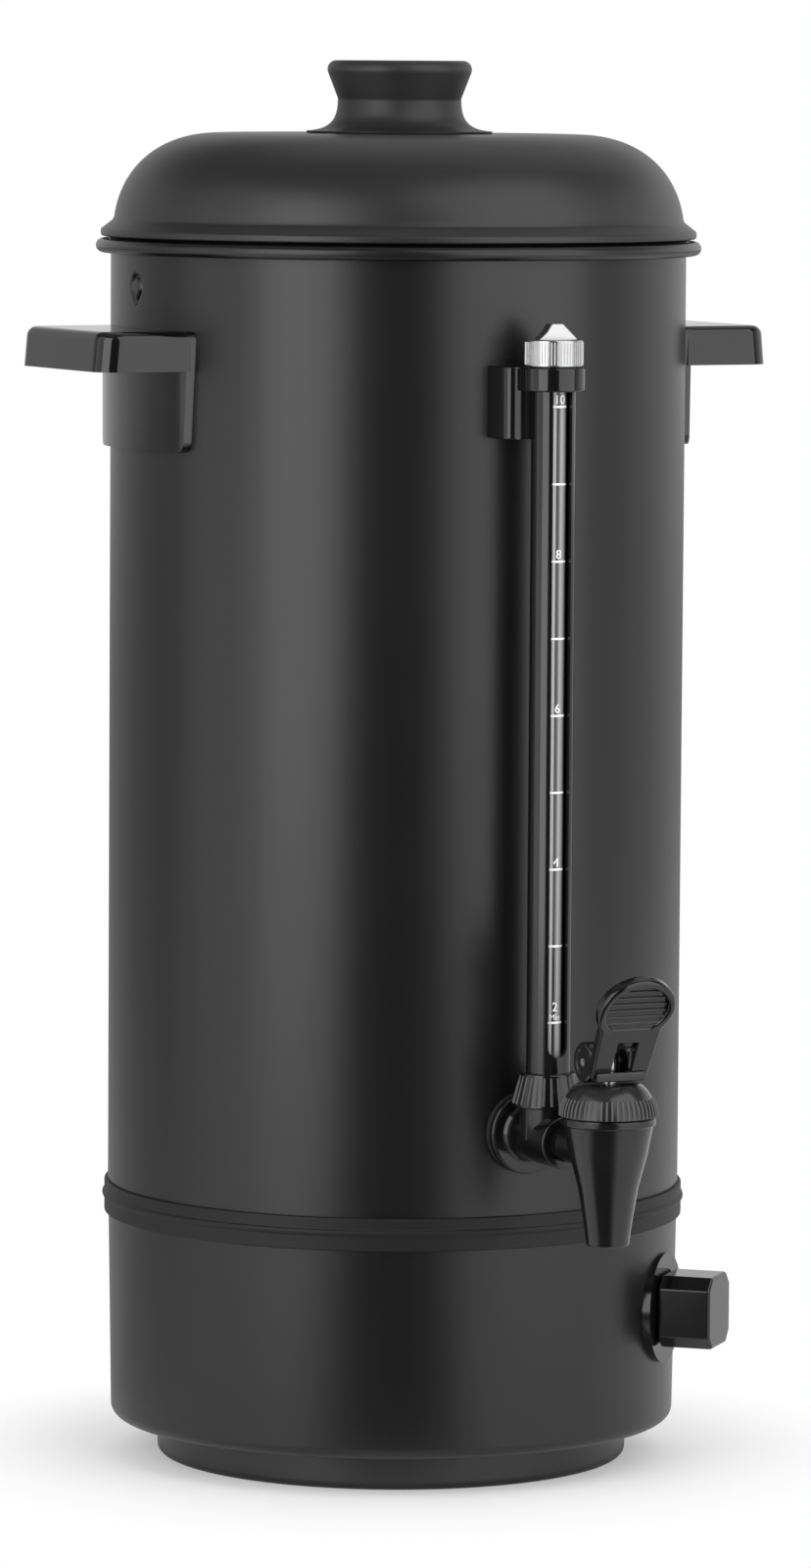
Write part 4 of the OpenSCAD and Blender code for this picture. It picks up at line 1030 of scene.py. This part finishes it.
def makeScale():
    lines = {
        "Count": litres["count"],
        "First": litres["full"],
        "Pitch": litres["pitch"],
        "Radius": gauge["glass"] + 0.05,
        "Sweep": math.radians(litres["sweep"]),
        "Line": litres["line"],
        "Finish": whitePrint,
    }
    made = marks.grown(lines, onGauge)
    settle(made, "litreLines", "silicone", "urn", finish=whitePrint)
    figures = []
    for count in litres["figures"]:
        z = litres["full"] - (10 - count) * litres["pitch"] + 1.1
        lift = 3.2 if count == 2 else 0  # the lowest figure makes room for the word under it
        figures.append(printed(str(count), z + lift, litres["height"]))
    low = litres["full"] - 8 * litres["pitch"] + 1.0
    figures.append(printed(litres["lowest"], low, litres["lowestHeight"]))
    first = figures[0]
    with bpy.context.temp_override(active_object=first, selected_editable_objects=figures):
        bpy.ops.object.join()
    settle(first, "litreFigures", "silicone", "urn", finish=whitePrint)


makeGuard()
makeBracket()
makeCap()
makeNut()
makeScale()
print("gauge made")

tap = {
    "y": -178.4,
    "shank": 138,
    "rim": 152,
    "rimRadius": 17.3,
    "top": 16.4,
    "mouth": 104.5,
    "tip": 7.9,
    "bore": 6.5,
}
onTap = Matrix.Translation((0, tap["y"], 0))
# an upright axis laid at the height of the shank, to point at the front
alongShank = Matrix.Translation((0, 0, tap["shank"])) @ Matrix.Rotation(math.radians(90), 4, "X")
tee = {"bore": 7.2, "flange": 15.5, "pipe": 10, "wall": 112.5, "end": 145.4, "neck": 10.4}


def turnedOnTap(outline):
    return lathe(outline, (0, tap["y"]))


def makeTee():  # flange on the wall, pipe to the tap and neck for the tube
    bore, flange, wide, wall, end = tee["bore"], tee["flange"], tee["pipe"], tee["wall"], tee["end"]
    pipe = [(bore, wall), (flange, wall, 0.4), (flange, wall + 3, 1.2), (11.2, wall + 3, 1.0)]
    pipe += [(wide, wall + 4.5, 1.0), (wide, end, 1.0), (bore, end)]
    made = tempered(lathe(softened(pipe, 0)), alongShank)
    foot, top = tap["shank"], nut["foot"]
    neck = [(3.5, foot), (tee["neck"], foot), (tee["neck"], top, 0.5), (3.5, top)]
    carved(made, [tempered(turnedOnGauge(softened(neck, 0)))], "UNION")
    settle(made, "gaugeTee", "gloss_black_plastic", "urn", ["gauge_tee"])


def makeSpout():
    tip, rim, mouth, bore, wide = tap["tip"], tap["rim"], tap["mouth"], tap["bore"], tap["rimRadius"]
    # up the tapered outside, over the rim and down the inside
    outline = [(bore, mouth, 0.4), (tip, mouth, 1.0), (tip + 0.5, 109.4), (9.3, 115), (11.1, 125.8)]
    outline += [(14.4, 138.3), (tap["top"], 148.8, 0.3), (wide, 149.2, 0.5), (wide, rim, 0.5)]
    outline += [(14.5, rim), (14.5, 156.8), (12, 156.8), (12, 140), (9.5, 128), (bore, 128)]
    made = tempered(turnedOnTap(softened(outline, 0)))
    shank = [(4.5, 137.6), (7, 137.6), (7, 165.4), (4.5, 165.4)]
    carved(made, [tempered(lathe(shank, segments=64), alongShank)], "UNION")
    settle(made, "tapSpout", "gloss_black_plastic", "urn", ["tap_body"])


bonnet = {
    "height": 12.4,
    "foot": 17.9,
    "crown": 11,
    "skirt": 14.6,
    "stem": 2.55,
    "ribs": 54,
    "ribWidth": 0.9,
}


def makeBonnet():
    h, foot, crown, rim = bonnet["height"], bonnet["foot"], bonnet["crown"], tap["rim"]
    skirt, stem = bonnet["skirt"], bonnet["stem"]
    outline = [(skirt, 0.1), (foot - 0.6, 0.1), (foot, 0.5)]
    outline += bezier([(foot, 0.9), (foot - 0.3, h * 0.42), (crown + 3.6, h * 0.88), (crown, h)], 24)
    outline += [(6.6, h), (6.1, h + 0.05), (stem, h + 0.05), (stem, h - 3.4)]
    outline += [(12, h - 3.4), (12, 5.1), (skirt, 5.1)]
    made = tempered(turnedOnTap([(r, rim + z) for r, z in outline]))
    settle(made, "tapBonnet", "gloss_black_plastic", "urn", ["tap_bonnet"], bonnetPlastic)
    grip = {
        "Count": bonnet["ribs"],
        "Foot": (foot, 0, rim + 0.6),
        "Bend": (foot + 0.1, 0, rim + 4.2),
        "Head": (foot - 1.9, 0, rim + 7.2),
        "Width": bonnet["ribWidth"],
        "Finish": ribPlastic,
    }
    ridges = knurl.grown(grip, onTap)
    settle(ridges, "tapBonnetKnurl", "gloss_black_plastic", "urn", finish=ribPlastic)


lever = {
    "pivot": 172.5,
    "lean": 27,
    "reach": 28,
    "pad": 15.5,
    "padLong": 13.5,
    "back": 5.2,
    "face": 9.7,
    "slot": 4,
    "cheek": 7.5,
    "pin": 1.55,
    "footHalf": 10,
    "ribs": 7,
    "ribPitch": 2.7,
    "ribWidth": 1.4,
    "ribOval": (12.1, 11.0),
}


def makeLever():
    seat = Matrix.Translation((0, tap["y"], lever["pivot"]))
    leaning = seat @ Matrix.Rotation(math.radians(lever["lean"]), 4, "X") @ standing
    back, face, pad, slot = lever["back"], lever["face"], lever["pad"], lever["slot"]
    fork = [(-11.3, -1.5), (-slot, -1.5), (-slot, 13.9), (slot, 13.9), (slot, -1.5)]
    fork += [(11.3, -1.5), (12.3, 20), (-12.3, 20)]
    made = bevelled(tempered(prism(fork, back, face), leaning), 0.7, 20)
    # a thick round rim that sinks away towards the neck
    dish = [(0, back), (pad - 2.2, back), (pad, back + 1.5, 1.4), (pad, face - 0.6)]
    dish += arc((pad - 1.7, face - 0.2), 1.7, 0, 160, 10) + [(pad - 3.6, face - 0.9), (0, face - 1.0)]
    bm = lathe(softened(dish, 0))
    for v in bm.verts:
        if v.co.z > face - 1.05:
            fade = max(0, min(1, -1.25 * v.co.y / pad))
            v.co.z += (face - 0.25 - v.co.z) * fade
    oval = Matrix.Translation((0, lever["reach"], 0)) @ Matrix.Diagonal((1, lever["padLong"] / pad, 1, 1))
    joined = [tempered(bm, leaning @ oval)]
    wide, pin = lever["cheek"], lever["pin"]
    cheek = [(pin, slot), (wide, slot, 0.4), (wide, 11, 1.3)]
    cheek += [(5.2, 11, 0.3), (4.9, 10.5, 0.3), (pin, 10.5)]
    for side in (-1, 1):
        turn = Matrix.Rotation(math.radians(90 * side), 4, "Y")
        joined.append(tempered(lathe(softened(cheek, 0), segments=72), seat @ turn))
    half = lever["footHalf"]
    foot = [(-half, -9.9), (half, -9.9), (half, -5.1), (3.1, -5.1)]
    foot += [(3.1, -8.2), (-3.1, -8.2), (-3.1, -5.1), (-half, -5.1)]
    bar = bevelled(tempered(prism(foot, -6.5, -3.1), seat), 0.5, 20)
    settle(bar, "leverFoot", "gloss_black_plastic", "lever")
    carved(made, joined, "UNION")
    settle(made, "tapLever", "gloss_black_plastic", "lever", ["tap_lever"])
    across, along = lever["ribOval"]
    grip = {
        "Count": lever["ribs"],
        "Pitch": lever["ribPitch"],
        "Across": across,
        "Along": along,
        "Width": lever["ribWidth"],
        "Finish": finishes["gloss_black_plastic"],
    }
    lift = Matrix.Translation((0, lever["reach"] - 0.3, face - 0.95))
    settle(padGrip.grown(grip, leaning @ lift), "leverGrip", "gloss_black_plastic", "lever")


control = {"turn": -45, "height": 61.75, "half": 13.75, "chamfer": 4.5, "back": 111.5, "front": 132.2}


def facingOut(turn, z):  # an upright axis laid to point out of the wall at this angle
    spin = Matrix.Rotation(math.radians(turn), 4, "Z") @ Matrix.Translation((0, 0, z))
    return spin @ Matrix.Rotation(math.radians(90), 4, "Y")


def makeControl():
    half = control["half"]
    cut = half - control["chamfer"]
    upper = [(half, cut), (cut, half), (-cut, half), (-half, cut)]
    plan = upper + [(-x, -y) for x, y in upper]
    block = tempered(prism(softened(plan, 1.2), control["back"], control["front"]))
    bevelled(block, 1.6, 60, 4)
    block.data.transform(facingOut(control["turn"], control["height"]))
    settle(block, "controlKnob", "gloss_black_plastic", "control", ["control_knob"])


makeTee()
makeSpout()
makeBonnet()
makeLever()
makeControl()
print("tap and control made")


# the CAD nodes that stay in view take the finish of their slot
for part in frame["record"]["subparts"]:
    mesh = frame["nodes"][part["node"]].data
    mesh.materials.clear()
    mesh.materials.append(finishes[part["material_slot"]])
